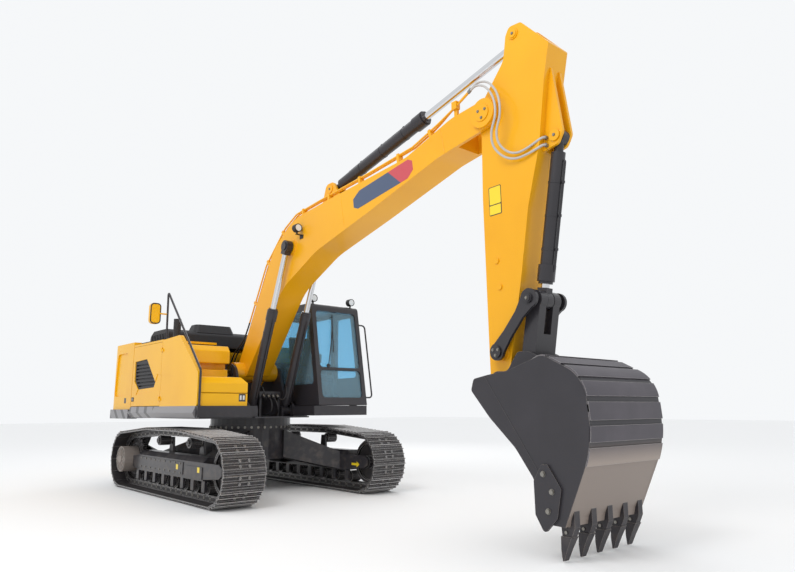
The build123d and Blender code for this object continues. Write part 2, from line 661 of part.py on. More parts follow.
def fuel_tank():
    """Welded tank with a stepped front: its upper part overhangs a dark slot."""
    outline = rounded(
        [
            (TANK_REAR, DECK_TOP), (TANK_FRONT, DECK_TOP), (TANK_FRONT, 1860), (60, 1880), (60, 1955),
            (205, 1955), (205, 2150),
            (130, 2235), (TANK_REAR, 2270),
        ],
        [0, 0, 0, 0, 0, 20, 30, 30, 0],
    )
    inner = BOX_INNER + 60
    tank = slab(outline, (BOX_OUTER + inner) / 2, inner - BOX_OUTER)
    for y in LID_HINGE_PLACES:
        tank += block((TANK_FRONT - 1, STEP_SPLIT - 30), (y - HINGE_LEAF, y), (LID_TOP - 25, LID_TOP))
    return tank


def tool_box():
    """Lower half of the tool box, with its inside open to the top."""
    box = block((STEP_SPLIT, BOX_FRONT), (BOX_OUTER, BOX_INNER), (DECK_TOP, LID_LOW - SEAM))
    inside = block(
        (STEP_SPLIT + 30, BOX_FRONT - 30), (BOX_OUTER + 30, BOX_INNER - 30), (DECK_TOP + 30, LID_LOW),
    )
    return box - inside


def tool_box_lid():
    """Deep lid, bevelled along its front and its inner end, hollow underneath."""
    side = rounded(
        [
            (STEP_SPLIT, LID_LOW), (BOX_FRONT, LID_LOW), (BOX_FRONT, LID_TOP - 93), (BOX_FRONT - 45, LID_TOP),
            (STEP_SPLIT, LID_TOP),
        ],
        [0, 10, 25, 40, 0],
    )
    lid = slab(side, (BOX_OUTER + BOX_INNER) / 2, BOX_INNER - BOX_OUTER)
    bevel = shape((BOX_INNER + 1, LID_TOP + 1), (BOX_INNER - 95, LID_TOP + 1), (BOX_INNER + 1, LID_TOP - 85))
    lid -= bar(bevel, (STEP_SPLIT - 1, BOX_FRONT + 1))
    inside = (STEP_SPLIT + 30, BOX_FRONT - 50), (BOX_OUTER + 30, BOX_INNER - 110)
    return lid - block(*inside, (LID_LOW - 1, LID_TOP - 40))


LID_HINGES = [hinge_axis(STEP_SPLIT - 4, y, LID_TOP, (0, 0, 1)) for y in LID_HINGE_PLACES]
lid_leaves = [hinge(place, (0, 1, 0), (1, 0, 0)) for place in LID_HINGES]
save("right_door", right_door())
save("right_grille", right_grille())
save("right_housing", right_housing())
save("tool_box_lid", tool_box_lid() + [moving for moving, fixed in lid_leaves])
save("tool_box", tool_box())
save("fuel_tank", fuel_tank() + [fixed for moving, fixed in lid_leaves])


def left_door(rear, front):
    """Plain side door with a louvred field, hinged at its rear edge."""
    face = rounded(
        [(rear + SEAM, DOOR_LOW), (front, DOOR_LOW), (front, DOOR_TOP), (rear + SEAM, DOOR_TOP)],
        [12, 12, 12, 12],
    )
    door = slab(face, HOUSE_HALF - WALL / 2, WALL)
    for step in range(8):
        z = 1500 + step * 80
        door -= block((rear + 110, front - 110), (HOUSE_HALF - 18, HOUSE_HALF + 1), (z, z + 34))
    for z in DOOR_HINGES:
        door += hinge(hinge_axis(rear, HOUSE_HALF, z), (0, 0, 1), (1, 0, 0))[0]
    return door


def left_housing():
    """Fixed left panels: posts between the doors, roof strip and front wall behind the cab."""
    rear = REAR_SEAM + SEAM
    panel = block((rear, LEFT_FRONT + 20), (560, HOUSE_HALF), (HOUSE_TOP - 35, HOUSE_TOP))
    panel += block(
        (LEFT_FRONT - 30, LEFT_FRONT + 20), (560, HOUSE_HALF - WALL - 8), (DECK_TOP, HOUSE_TOP - 30),
    )
    panel += block(
        (rear + 30, rear + 90), (HOUSE_HALF - WALL - 60, HOUSE_HALF - WALL - SEAM),
        (DECK_TOP, HOUSE_TOP - 30),
    )
    panel += block(
        (LEFT_DOOR_SPLIT - PILLAR, LEFT_DOOR_SPLIT), (HOUSE_HALF - WALL - 40, HOUSE_HALF),
        (DECK_TOP, HOUSE_TOP - 30),
    )
    for z in DOOR_HINGES:
        panel += hinge(hinge_axis(LEFT_DOOR_SPLIT, HOUSE_HALF, z), (0, 0, 1), (1, 0, 0))[1]
    return panel + hinge(HOOD_HINGES[1], (0, 1, 0), (-1, 0, 0))[1]


save("left_door_rear", left_door(REAR_SEAM + SEAM, LEFT_DOOR_SPLIT - PILLAR - SEAM))
save("left_door_front", left_door(LEFT_DOOR_SPLIT, LEFT_FRONT))
save("left_housing", left_housing())


def hood():
    """Engine hood: a flat surround, a raised middle with ribbed sides, and a domed air intake on top."""
    low = HOUSE_TOP + 12
    plate = block((HOOD_REAR, HOOD_FRONT), (-HOOD_HALF, HOOD_HALF), (low, low + HOOD_PLATE))
    raised = rounded(
        [
            (HOOD_REAR, low), (HOOD_FRONT - 30, low), (HOOD_FRONT - 40, HOOD_TOP - 60),
            (HOOD_FRONT - 130, HOOD_TOP),
            (HOOD_REAR + 160, HOOD_TOP), (HOOD_REAR, HOOD_TOP - 90),
        ],
        [0, 0, 60, 70, 120, 80],
    )
    half = HOOD_HALF - 305
    shell = plate + slab(raised, 0, 2 * half)
    for rib in range(int((HOOD_FRONT - HOOD_REAR - 180) / HOOD_RIB_PITCH)):
        x = HOOD_REAR + 110 + rib * HOOD_RIB_PITCH
        for side in (-1, 1):
            y = sorted((side * (half - 5), side * (half + 22)))
            shell += block((x, x + 34), y, (low + HOOD_PLATE - 5, HOOD_TOP - 75))
    dome = [
        Plane((-1550, -50, HOOD_TOP - 30)) * RectangleRounded(400, 800, 90),
        Plane((-1550, -50, HOOD_TOP + 120)) * RectangleRounded(300, 690, 90),
    ]
    shell += loft(dome, ruled=True)
    inside = (HOOD_REAR + 40, HOOD_FRONT - 80), (-half + 40, half - 40), (low - 1, HOOD_TOP - 110)
    return shell - block(*inside)


hood_leaves = [hinge(place, (0, 1, 0), (-1, 0, 0)) for place in HOOD_HINGES]
save("hood", hood() + [moving for moving, fixed in hood_leaves])


# ---------------------------------------------------------------- cab
CAB_MIDDLE = (CAB_LEFT + CAB_RIGHT) / 2
CAB_WIDTH = CAB_LEFT - CAB_RIGHT
CAB_HEIGHT = CAB_TOP - CAB_FLOOR
LEAN = CAB_LEAN / CAB_HEIGHT  # the front goes back this much for each millimetre up
FRONT_PLANE = Plane((CAB_FRONT, CAB_MIDDLE, CAB_FLOOR), x_dir=(0, 1, 0), z_dir=(CAB_HEIGHT, 0, CAB_LEAN))
PANE_LOW = 0.075, 0.345  # lower and upper edge of the lower windscreen, as shares of the cab's height
PANE_HIGH = 0.37, 0.94
DOOR_FRONT = 75.0  # the door's front edge lies this far behind the cab's front
DOOR_HEAD = 95.0
SIDE_SILL = 1640.0
REAR_SILL = 1900.0
DOOR_SILL = 1760.0
WINDOW_TOP = CAB_TOP - 120


def front_edge(z):
    """X of the cab's leaning front at a height."""
    return CAB_FRONT - LEAN * (z - CAB_FLOOR)


def cab_outline(inset):
    """Side outline of the cab, inset from its outer faces."""
    low, high = CAB_FLOOR + inset, CAB_TOP - inset
    rear, back = CAB_REAR + inset, inset * math.hypot(1, LEAN)
    corner = max(90 - inset, 10)
    points = [(rear, low), (front_edge(low) - back, low), (front_edge(high) - back, high), (rear, high)]
    return rounded(points, [10, 10, corner, corner])


def door_outline(inset):
    """Side outline of the cab door: upright rear edge, leaning front edge."""
    low, high = CAB_FLOOR + 40 + inset, CAB_TOP - DOOR_HEAD - inset
    rear, back = DOOR_REAR + inset, DOOR_FRONT + inset * math.hypot(1, LEAN)
    points = [(rear, low), (front_edge(low) - back, low), (front_edge(high) - back, high), (rear, high)]
    return rounded(points, [40, 40, 70, 40])


def front_window(inset, pane):
    """Outline of one windscreen in the leaning front plane, from its lower to its upper edge."""
    low, high = CAB_HEIGHT * pane[0], CAB_HEIGHT * pane[1]
    return Pos(0, (low + high) / 2) * RectangleRounded(
        CAB_WIDTH - 150 - 2 * inset, high - low - 2 * inset, 60
    )


def side_window(inset):
    """Window in the right wall, its front edge parallel to the windscreen."""
    rear, low, high = CAB_REAR + 90 + inset, SIDE_SILL + inset, WINDOW_TOP - inset
    back = 107 + inset
    points = [(rear, low), (front_edge(low) - back, low), (front_edge(high) - back, high), (rear, high)]
    return rounded(points, [60, 60, 60, 60])


def rear_side_window(inset):
    """Window in the left wall behind the door."""
    rear, front = CAB_REAR + 90 + inset, DOOR_REAR - 75 - inset
    low, high = REAR_SILL + inset, WINDOW_TOP - inset
    return rounded([(rear, low), (front, low), (front, high), (rear, high)], [50, 50, 50, 50])


REAR_WINDOW = 110.0, 2050.0, 2800.0  # distance from each side, lower and upper edge
CAB_HINGES = (1560.0, 2480.0)


def cab_shell():
    """Pressed and welded cab, hollow, with its windows and the doorway cut."""
    cab = slab(cab_outline(0), CAB_MIDDLE, CAB_WIDTH)
    cab -= slab(cab_outline(CAB_WALL), CAB_MIDDLE, CAB_WIDTH - 2 * CAB_WALL)
    for pane in (PANE_LOW, PANE_HIGH):
        cab -= extrude(FRONT_PLANE * front_window(0, pane), amount=CAB_WALL + 60, both=True)
    cab -= slab(side_window(0), CAB_RIGHT + CAB_WALL / 2, CAB_WALL + 4)
    for outline in (rear_side_window(0), door_outline(-SEAM)):
        cab -= slab(outline, CAB_LEFT - CAB_WALL / 2, CAB_WALL + 4)
    margin, low, high = REAR_WINDOW
    cab -= block(
        (CAB_REAR - 2, CAB_REAR + CAB_WALL + 2), (CAB_RIGHT + margin, CAB_LEFT - margin), (low, high),
    )
    for z in CAB_HINGES:
        cab += hinge(hinge_axis(DOOR_REAR - SEAM / 2, CAB_LEFT, z), (0, 0, 1), (1, 0, 0))[1]
    return cab


def cab_glass():
    """Window panes set in the middle of the cab's walls."""
    panes = []
    middle, play = CAB_WALL / 2, GLASS_PLAY
    for pane in (PANE_HIGH, PANE_LOW):
        panes.append(extrude(FRONT_PLANE.offset(-middle) * front_window(play, pane), amount=GLASS))
    panes.append(slab(side_window(play), CAB_RIGHT + middle, GLASS))
    panes.append(slab(rear_side_window(play), CAB_LEFT - middle, GLASS))
    margin, low, high = REAR_WINDOW
    x = (CAB_REAR + middle, CAB_REAR + middle + GLASS)
    panes.append(block(x, (CAB_RIGHT + margin + play, CAB_LEFT - margin - play), (low + play, high - play)))
    return panes


DOOR_RAIL = 70.0


def cab_door():
    """Door frame as thick as the wall, with one tall window opening and a lower panel."""
    y = CAB_LEFT - CAB_WALL / 2
    door = slab(door_outline(0), y, CAB_WALL)
    door -= slab(door_window(0), y, CAB_WALL + 2)
    for z in CAB_HINGES:
        door += hinge(hinge_axis(DOOR_REAR - SEAM / 2, CAB_LEFT, z), (0, 0, 1), (1, 0, 0))[0]
    return door


def door_window(inset):
    """Window opening of the door, above its lower panel."""
    low, high = DOOR_SILL + inset, CAB_TOP - DOOR_HEAD - DOOR_RAIL - inset
    rear, back = DOOR_REAR + DOOR_RAIL + inset, DOOR_FRONT + DOOR_RAIL + inset
    points = [(rear, low), (front_edge(low) - back, low), (front_edge(high) - back, high), (rear, high)]
    return rounded(points, [50, 50, 50, 50])


save("cab_shell", cab_shell())
save("cab_glass", cab_glass())
save("cab_door", cab_door())
save("cab_door_glass", slab(door_window(GLASS_PLAY), CAB_LEFT - CAB_WALL / 2, GLASS))


CONSOLE = 120.0
CONSOLE_GAP = 37.0  # free space between a console and the cab's wall
CONSOLE_OUTER = CAB_WIDTH / 2 - CAB_WALL - CONSOLE_GAP
SEAT_HALF = CONSOLE_OUTER - CONSOLE


def operator_station():
    """Seat on its pedestal between two lever consoles, on the cab floor."""
    floor = CAB_FLOOR + CAB_WALL
    pedestal = 0.68 * SEAT_HALF
    seat = block((60, 420), (CAB_MIDDLE - pedestal, CAB_MIDDLE + pedestal), (floor, floor + 330))
    cushion = rounded([(20, 1700), (560, 1700), (590, 1760), (560, 1820), (20, 1800)], [20, 20, 30, 30, 20])
    seat += slab(cushion, CAB_MIDDLE, 2 * SEAT_HALF)
    back = rounded([(30, 1780), (150, 1780), (40, 2480), (-80, 2480)], [30, 30, 40, 40])
    seat += slab(back, CAB_MIDDLE, 2 * SEAT_HALF - 20)
    side = [(40, floor), (480, floor), (560, 1900), (500, 1960), (60, 1930)]
    for direction in (-1, 1):
        middle = CAB_MIDDLE + direction * (CONSOLE_OUTER - CONSOLE / 2)
        seat += slab(rounded(side, [10, 10, 30, 30, 30]), middle, CONSOLE)
    plinth = CONSOLE_OUTER - 10
    return seat + block((60, 420), (CAB_MIDDLE - plinth, CAB_MIDDLE + plinth), (floor, floor + 60))


save("operator_station", operator_station())

# ---------------------------------------------------------------- rails, mirror, lamps, valve, exhaust
RAIL = 17.0
RAIL_SIDES = 8
RAIL_Y = -HOUSE_HALF + GUARD_WIDTH / 2
RAIL_FOOT = GUARD_FRONT + RAIL + SEAT
POST_X = -350.0
POST_FOOT = 2332.6
POST_TOP = 3100.0


def rail(points, radius, bends):
    """Bent bar with flat facets along a path."""
    path = FilletPolyline(*points, radius=bends)
    return sweep(Plane(origin=path @ 0, z_dir=path % 0) * RegularPolygon(radius, RAIL_SIDES), path=path)


def handrails():
    """Bent tube rail up the step guard to a tall post, and the grab rail at the cab's front corner."""
    right = rail(
        [
            (RAIL_FOOT, RAIL_Y, DECK_TOP), (RAIL_FOOT, RAIL_Y, 1800), (POST_X - 30, RAIL_Y, POST_TOP),
            (POST_X, RAIL_Y, POST_FOOT),
        ],
        RAIL,
        [60, 20],
    )
    out = CAB_LEFT + 150
    grab = rail(
        [(975, CAB_LEFT, 2650), (975, out, 2650), (1190, out, 1430), (1190, CAB_LEFT, 1430)],
        RAIL - 3,
        [60, 60],
    )
    return [right, grab]


save("handrails", handrails())


def mirror_head():
    """Rounded mirror on a short arm from the right-hand post."""
    x, z = POST_X - 50, POST_TOP - 360
    plate = Plane((x, RAIL_Y - 190, z), x_dir=(0, 1, 0), z_dir=(1, 0, 0)) * RectangleRounded(170, 330, 60)
    head = extrude(plate, amount=32, both=True)
    glass_rim = Plane((x - 32, RAIL_Y - 190, z), x_dir=(0, 1, 0), z_dir=(-1, 0, 0)) * RectangleRounded(
        140, 300, 50
    )
    arm = Plane((x + 34, RAIL_Y - RAIL - SEAT, z), z_dir=(0, -1, 0)) * RegularPolygon(12, RAIL_SIDES)
    return head - extrude(glass_rim, amount=-8) + extrude(arm, amount=120)


save("right_mirror", mirror_head())
LAMP_RADIUS = 62.0
LAMP_STALK = 50.0


def lamp(x, y, z):
    """Round work lamp facing forward on a short stalk, its lens set in a rim."""
    height = z + LAMP_STALK + LAMP_RADIUS - 22
    body = Plane((x, y, height), z_dir=(1, 0, 0)) * RegularPolygon(LAMP_RADIUS, 16)
    lens = Plane((x + 45, y, height), z_dir=(-1, 0, 0)) * RegularPolygon(LAMP_RADIUS - 9, 16)
    housing = extrude(body, amount=45, both=True) - extrude(lens, amount=12)
    return housing + disc(x, y, z, 14, LAMP_STALK + 10, 8)


ROOF_LAMPS = (CAB_RIGHT + 90, CAB_LEFT - 90)
save("work_lamps", [lamp(880, y, CAB_TOP) for y in ROOF_LAMPS])
VALVE_TOP = 1700.0
save("control_valve", block((-1250, -420), (-330, 330), (DECK_BOTTOM + 20, VALVE_TOP)))
EXHAUST_TOP = 2760.0
exhaust = disc(-960, -930, HOUSE_TOP, 62, EXHAUST_TOP - HOUSE_TOP, 20)
save("exhaust_pipe", exhaust - disc(-960, -930, EXHAUST_TOP - 120, 54, 121, 20))

# hose block between the two boom cylinders, with four fittings on its front
HOSE_BLOCK = (560.0, 1480.0)  # middle x and z
FITTINGS = (-120, -40, 40, 120)


def valve_hoses():
    """Bulkhead bar on two posts between the cylinders, with four angled fittings."""
    x, z = HOSE_BLOCK
    bulkhead = block((x - 30, x + 30), (-185, 185), (z - 45, z + 45))
    for y in (-160, 160):
        bulkhead += block((x - 25, x + 25), (y - 18, y + 18), (DECK_BOTTOM + 20, z))
    for y in FITTINGS:
        nose = Plane((x + 25, y, z), z_dir=(1, 0, -0.8)) * RegularPolygon(20, 8)
        bulkhead += extrude(nose, amount=85)
    return bulkhead


save("valve_hoses", valve_hoses())


# ---------------------------------------------------------------- boom
STICK_LUG = EYE_WIDTH / 2 + SIDE_GAP  # inner faces of the lugs round the stick cylinder's base
LUG_THICKNESS = 36.0


def boom():
    """Box-section boom: round foot tube, arched middle, fork for the stick."""
    foot, tip, base = BOOM_FOOT, STICK_PIN, STICK_CYL_BASE
    outline = rounded(
        [
            (foot[0] - 135, foot[1] + 90), (940, 3730), (1500, 4100), (2450, 4180), (4080, 4300),
            (4880, 4540),
            (tip[0] + 40, tip[1] + 175), (tip[0] + 165, tip[1]), (tip[0] + 40, tip[1] - 165), (4650, 4130),
            (3300, 3770), (2130, 3480), (1230, 3060), (foot[0] + 140, foot[1] - 100),
        ],
        [60, 700, 900, 1500, 900, 800, 110, 110, 110, 900, 2500, 1500, 900, 60],
    )
    body = slab(outline, 0, 2 * BOOM_HALF)
    body += drum(foot, 0, 150, 2 * FOOT_HALF, 36)
    for side in (-1, 1):
        body += drum(tip, side * (FORK_INNER + FORK_BOSS) / 2, 165, FORK_BOSS - FORK_INNER, 32)
        body += drum(BOOM_CYL_EYE, side * (BOOM_HALF + 10), 115, 30)
        lug = rounded(
            [
                (base[0] - 230, 4090), (base[0] + 330, 4090), (base[0] + 85, base[1] + 90),
                (base[0] - 95, base[1] + 85),
            ],
            [0, 0, 90, 90],
        )
        body += slab(lug, side * (STICK_LUG + LUG_THICKNESS / 2), LUG_THICKNESS)
    body -= block((tip[0] - 435, tip[0] + 300), (-FORK_INNER, FORK_INNER), (tip[1] - 400, tip[1] + 400))
    body += pin(tip, 0, 50, 2 * FORK_BOSS)
    body += pin(base, 0, 45, 2 * (STICK_LUG + LUG_THICKNESS))
    return body - pin(foot, 0, 55 + PIN_PLAY, 2 * FOOT_HALF + 2)


boom_body = boom()
save("boom", boom_body)

# steel pipes that feed the stick: they run over the boom's back, held off it by clamps
PIPE = 13.0
PIPE_PLACES = (-192.0, -152.0)
PIPE_BEND = 200.0
PIPE_LINE = (
    (200, 2640), (690, 3515), (1235, 4010), (1560, 4165), (2200, 4228), (3300, 4318), (4200, 4410),
    (4560, 4525),
)
# stretch of the line that a clamp sits on, share of the stretch
CLAMPS = ((0, 0.35), (1, 0.1), (1, 0.9), (3, 0.3), (4, 0.2), (4, 0.85), (5, 0.7), (6, 0.85))
CLAMP_HALF = 20.0
CLAMP_DEPTH = 140.0  # long enough to reach into the boom before it is cut to its surface


def boom_pipes():
    """Two pipes on clamp blocks, from behind the boom foot to the fork of the stick."""
    pipes = []
    for y in PIPE_PLACES:
        pipes.append(rail([(x, y, z) for x, z in PIPE_LINE], PIPE, [PIPE_BEND] * (len(PIPE_LINE) - 2)))
    middle = sum(PIPE_PLACES) / 2
    width = PIPE_PLACES[1] - PIPE_PLACES[0] + 2 * PIPE + 12
    clamps = []
    for stretch, share in CLAMPS:
        start, end = PIPE_LINE[stretch], PIPE_LINE[stretch + 1]
        length, (dx, dz) = along(start, end)
        x, z = start[0] + dx * length * share, start[1] + dz * length * share
        corners = []
        for ahead, down in ((-1, -22), (1, -22), (1, CLAMP_DEPTH), (-1, CLAMP_DEPTH)):
            corners.append((x + dx * CLAMP_HALF * ahead + dz * down, z + dz * CLAMP_HALF * ahead - dx * down))
        clamps.append(slab(shape(*corners), middle, width))
    run = pipes[0] + pipes[1]
    for clamp in clamps:
        run += clamp
    return run - boom_body


save("boom_pipes", boom_pipes())
BOOM_LAMP = (1745.0, 3802.0)


def boom_lamp():
    """Work lamp on an angled bracket on the boom's right side."""
    x, z = BOOM_LAMP
    y = -BOOM_HALF - 85
    bracket = block((x - 20, x + 20), (y - 20, -BOOM_HALF), (z - 8, z))
    bracket += block((x - 45, x + 45), (-BOOM_HALF - 8, -BOOM_HALF), (z - 60, z))
    return lamp(x, y, z) + bracket


save("boom_lamp", boom_lamp())


# ---------------------------------------------------------------- hydraulic cylinders
def barrel(base, eye, y, radius, gland, bore, neck, reach):
    """Cylinder barrel with its base eye, a narrower neck and the thicker gland at its mouth."""
    solid = rod_between(base, eye, y, radius, neck, reach)
    solid += rod_between(base, eye, y, EYE_WIDTH / 2 - 3, radius * 0.6, neck + 5)
    solid += rod_between(base, eye, y, gland, reach - 190, reach - 25)
    solid += drum(base, y, radius + 8, EYE_WIDTH)
    solid -= rod_between(base, eye, y, bore, neck + 60, reach + 1)
    return solid - pin(base, y, 45 + PIN_PLAY, EYE_WIDTH + 2)


EYE_NECK = 34.0  # the forging behind an eye that the rod is welded to
NECK_RISE = 14.0


def rod(base, eye, y, radius, inner_end, eye_radius):
    """Chromed rod, from its end inside the barrel to the neck of its eye."""
    length, _ = along(base, eye)
    return rod_between(base, eye, y, radius, inner_end, length - eye_radius - EYE_NECK)


def rod_eye(base, eye, y, radius, eye_radius, width):
    """Forged eye with the square neck that the rod is welded to."""
    length, (dx, dz) = along(base, eye)
    half = radius + NECK_RISE
    corners = []
    for ahead, up in (
        (length - eye_radius - EYE_NECK, -1), (length - 20, -1), (length - 20, 1),
        (length - eye_radius - EYE_NECK, 1),
    ):
        corners.append((base[0] + dx * ahead - dz * half * up, base[1] + dz * ahead + dx * half * up))
    return slab(shape(*corners), y, width) + drum(eye, y, eye_radius, width)


PIN_CAP = 16.0  # the boom cylinders' upper pins end in caps this thick
TWIN = (-BOOM_CYL_OFFSET, BOOM_CYL_OFFSET)
# base pin, eye pin, planes; radius of the barrel, gland and rod; base pin to barrel and to mouth;
# how far the rod can still slide in from this pose; radius and width of its eye
CYLINDERS = {
    "boom_cylinder": (BOOM_CYL_BASE, BOOM_CYL_EYE, TWIN, 70, 82, 42.5, 115, 1640, 800, 92, 100),
    "stick_cylinder": (STICK_CYL_BASE, STICK_CYL_EYE, (0,), 82, 98, 48, 190, 2010, 1134, 100, 96),
    "bucket_cylinder": (BUCKET_CYL_BASE, LINK_PIN, (0,), 72, 88, 42.5, 160, 1490, 10, 92, 96),
}
for name, (base, eye, planes, radius, gland, core, neck, reach, stroke, eye_radius, width) in CYLINDERS.items(
    
):
    inner_end = neck + 80 + stroke
    save(f"{name}_barrel", [barrel(base, eye, y, radius, gland, core + SEAT, neck, reach) for y in planes])
    eyes = [rod_eye(base, eye, y, core, eye_radius, width) for y in planes]
    if name == "boom_cylinder":
        caps = [drum(eye, y * (1 + EYE_WIDTH / 2 / abs(y)), 62, 2 * PIN_CAP) for y in planes]
        eyes = [one + cap for one, cap in zip(eyes, caps)]
    save(f"{name}_rod", [rod(base, eye, y, core, inner_end, eye_radius) for y in planes])
    save(f"{name}_eye", eyes)


# ---------------------------------------------------------------- stick
STICK_PLATE = 34.0  # brackets for the bucket cylinder's base


def stick():
    """Box-section stick with open ears for its cylinder and brackets for the bucket cylinder."""
    foot, tip, ear, bracket = STICK_PIN, BUCKET_PIN, STICK_CYL_EYE, BUCKET_CYL_BASE
    outline = rounded(
        [
            (ear[0] - 110, ear[1] + 20), (ear[0] - 60, ear[1] + 110), (ear[0] + 100, ear[1] + 95),
            (6230, 4910),
            (6155, 4550), (6057, 3854), (5890, 3254), (5770, 2560), (5585, 1640), (5560, 1430),
            (tip[0], tip[1] - 125),
            (5330, 1430), (5320, 1800), (5290, 3475), (5300, 4200), (5225, 4420), (5330, 4590), (5640, 4950),
        ],
        [60, 60, 60, 30, 200, 400, 400, 400, 200, 80, 80, 80, 200, 800, 120, 120, 120, 200],
    )
    body = slab(outline, 0, 2 * STICK_HALF)
    slot = shape(
        (5200, 5000), (5520, 4800), (5750, 4640), (6090, 4640), (6150, 4930), (6100, 5500),
        (5200, 5500),
    )
    body -= slab(slot, 0, 2 * (STICK_HALF - 40))
    inner = EYE_WIDTH / 2 + SIDE_GAP
    boss = ROCKER_INNER - STICK_HALF - SIDE_GAP
    plate = rounded(
        [
            (6100, 4650), (6190, 4690), (bracket[0] + 95, bracket[1] + 20),
            (bracket[0] + 30, bracket[1] - 95), (6020, 3800),
        ],
        [0, 30, 80, 60, 0],
    )
    for side in (-1, 1):
        body += drum(ear, side * (inner + STICK_HALF) / 2, 95, STICK_HALF - inner)
        body += slab(plate, side * (inner + STICK_PLATE / 2), STICK_PLATE)
        body += drum(ROCKER_PIN, side * (STICK_HALF + boss / 2), 85, boss)
    for side in (-1, 1):
        body += drum(ear, side * (STICK_HALF + 3), 60, 20, 16)
    body += pin(bracket, 0, 45, 2 * (inner + STICK_PLATE) + 16)
    body += pin(ROCKER_PIN, 0, 40, 2 * (ROCKER_INNER + ROCKER_THICKNESS) + 16)
    body -= pin(foot, 0, 50 + PIN_PLAY, 2 * STICK_HALF + 2)
    return body - pin(tip, 0, 45 + PIN_PLAY, 2 * STICK_HALF + 2)


save("stick", stick())


# ---------------------------------------------------------------- bucket linkage
def rocker_arms():
    """Two forged rocker arms outside the stick: waisted bars between their pin and the link pin."""
    a, b = ROCKER_PIN, LINK_PIN
    length, (dx, dz) = along(a, b)
    # distance from the rocker pin, half width of the bar there
    waist = ((20, 78), (0.35 * length, 56), (0.7 * length, 56), (length - 25, 88))
    edge = [(a[0] + dx * far - dz * half, a[1] + dz * far + dx * half) for far, half in waist]
    edge += [(a[0] + dx * far + dz * half, a[1] + dz * far - dx * half) for far, half in reversed(waist)]
    arms = []
    for side in (-1, 1):
        y = side * (ROCKER_INNER + ROCKER_THICKNESS / 2)
        arm = slab(shape(*edge), y, ROCKER_THICKNESS) + drum(a, y, 88, ROCKER_THICKNESS) + drum(
            b, y, 98, ROCKER_THICKNESS
        )
        arm += drum(b, side * (ROCKER_INNER + ROCKER_THICKNESS + 8), 50, 24, 12)
        arms.append(arm - pin(a, y, 40 + PIN_PLAY, ROCKER_THICKNESS + 2))
    return arms


LINK_FORK_INNER = EYE_WIDTH / 2 + SIDE_GAP


def bucket_link():
    """Cast link: one wide boss on the bucket's pin, and a fork round the cylinder's eye."""
    a, b = BUCKET_LINK_PIN, LINK_PIN
    length, (dx, dz) = along(a, b)
    half = 78.0
    width = 2 * STICK_HALF - 10
    outline = shape(
        (a[0] - dz * half, a[1] + dx * half), (a[0] + dz * half, a[1] - dx * half),
        (b[0] + dz * half, b[1] - dx * half), (b[0] - dz * half, b[1] + dx * half),
    )
    body = slab(outline, 0, width) + drum(a, 0, 92, 2 * STICK_HALF) + drum(b, 0, 95, width)
    crotch, wide, far = length - 330, 120, 120
    gap = shape(
        (a[0] - dz * wide + dx * crotch, a[1] + dx * wide + dz * crotch),
        (a[0] + dz * wide + dx * crotch, a[1] - dx * wide + dz * crotch),
        (b[0] + dz * wide + dx * far, b[1] - dx * wide + dz * far),
        (b[0] - dz * wide + dx * far, b[1] + dx * wide + dz * far),
    )
    body -= slab(gap, 0, 2 * LINK_FORK_INNER)
    return body - pin(a, 0, 40 + PIN_PLAY, 2 * STICK_HALF + 2)


save("rocker_arms", rocker_arms())
save("bucket_link", bucket_link())

# ---------------------------------------------------------------- bucket
SHELL_PLATE = 25.0
SIDE_PLATE = 30.0
LIP = (6440.0, 300.0)
SHELL_LINE = ((5580, 1375), (6290, 1705), (6690, 1500), (6735, 960), LIP)
SHELL_BENDS = (140, 320, 900)
STRIP_THICKNESS = 12.0
STRIPS = (0.30, 0.45, 0.60, 0.75)  # middles of the wear strips, as shares of the shell's developed length
STRIP_WIDTH = 150.0


def shell_strip(first, last, inner, thickness, width):
    """Plate that follows the shell between two shares of its length, at a distance outside it."""
    line = FilletPolyline(*SHELL_LINE, radius=list(SHELL_BENDS))
    steps = 6
    points = {0: [], 1: []}
    for step in range(steps + 1):
        share = first + (last - first) * step / steps
        place, heading = line @ share, line % share
        for layer, out in enumerate((inner, inner + thickness)):
            # the shell's outside lies to the left of its line
            points[layer].append((place.X - heading.Y * out, place.Y + heading.X * out))
    return slab(shape(*points[0], *reversed(points[1])), 0, width)


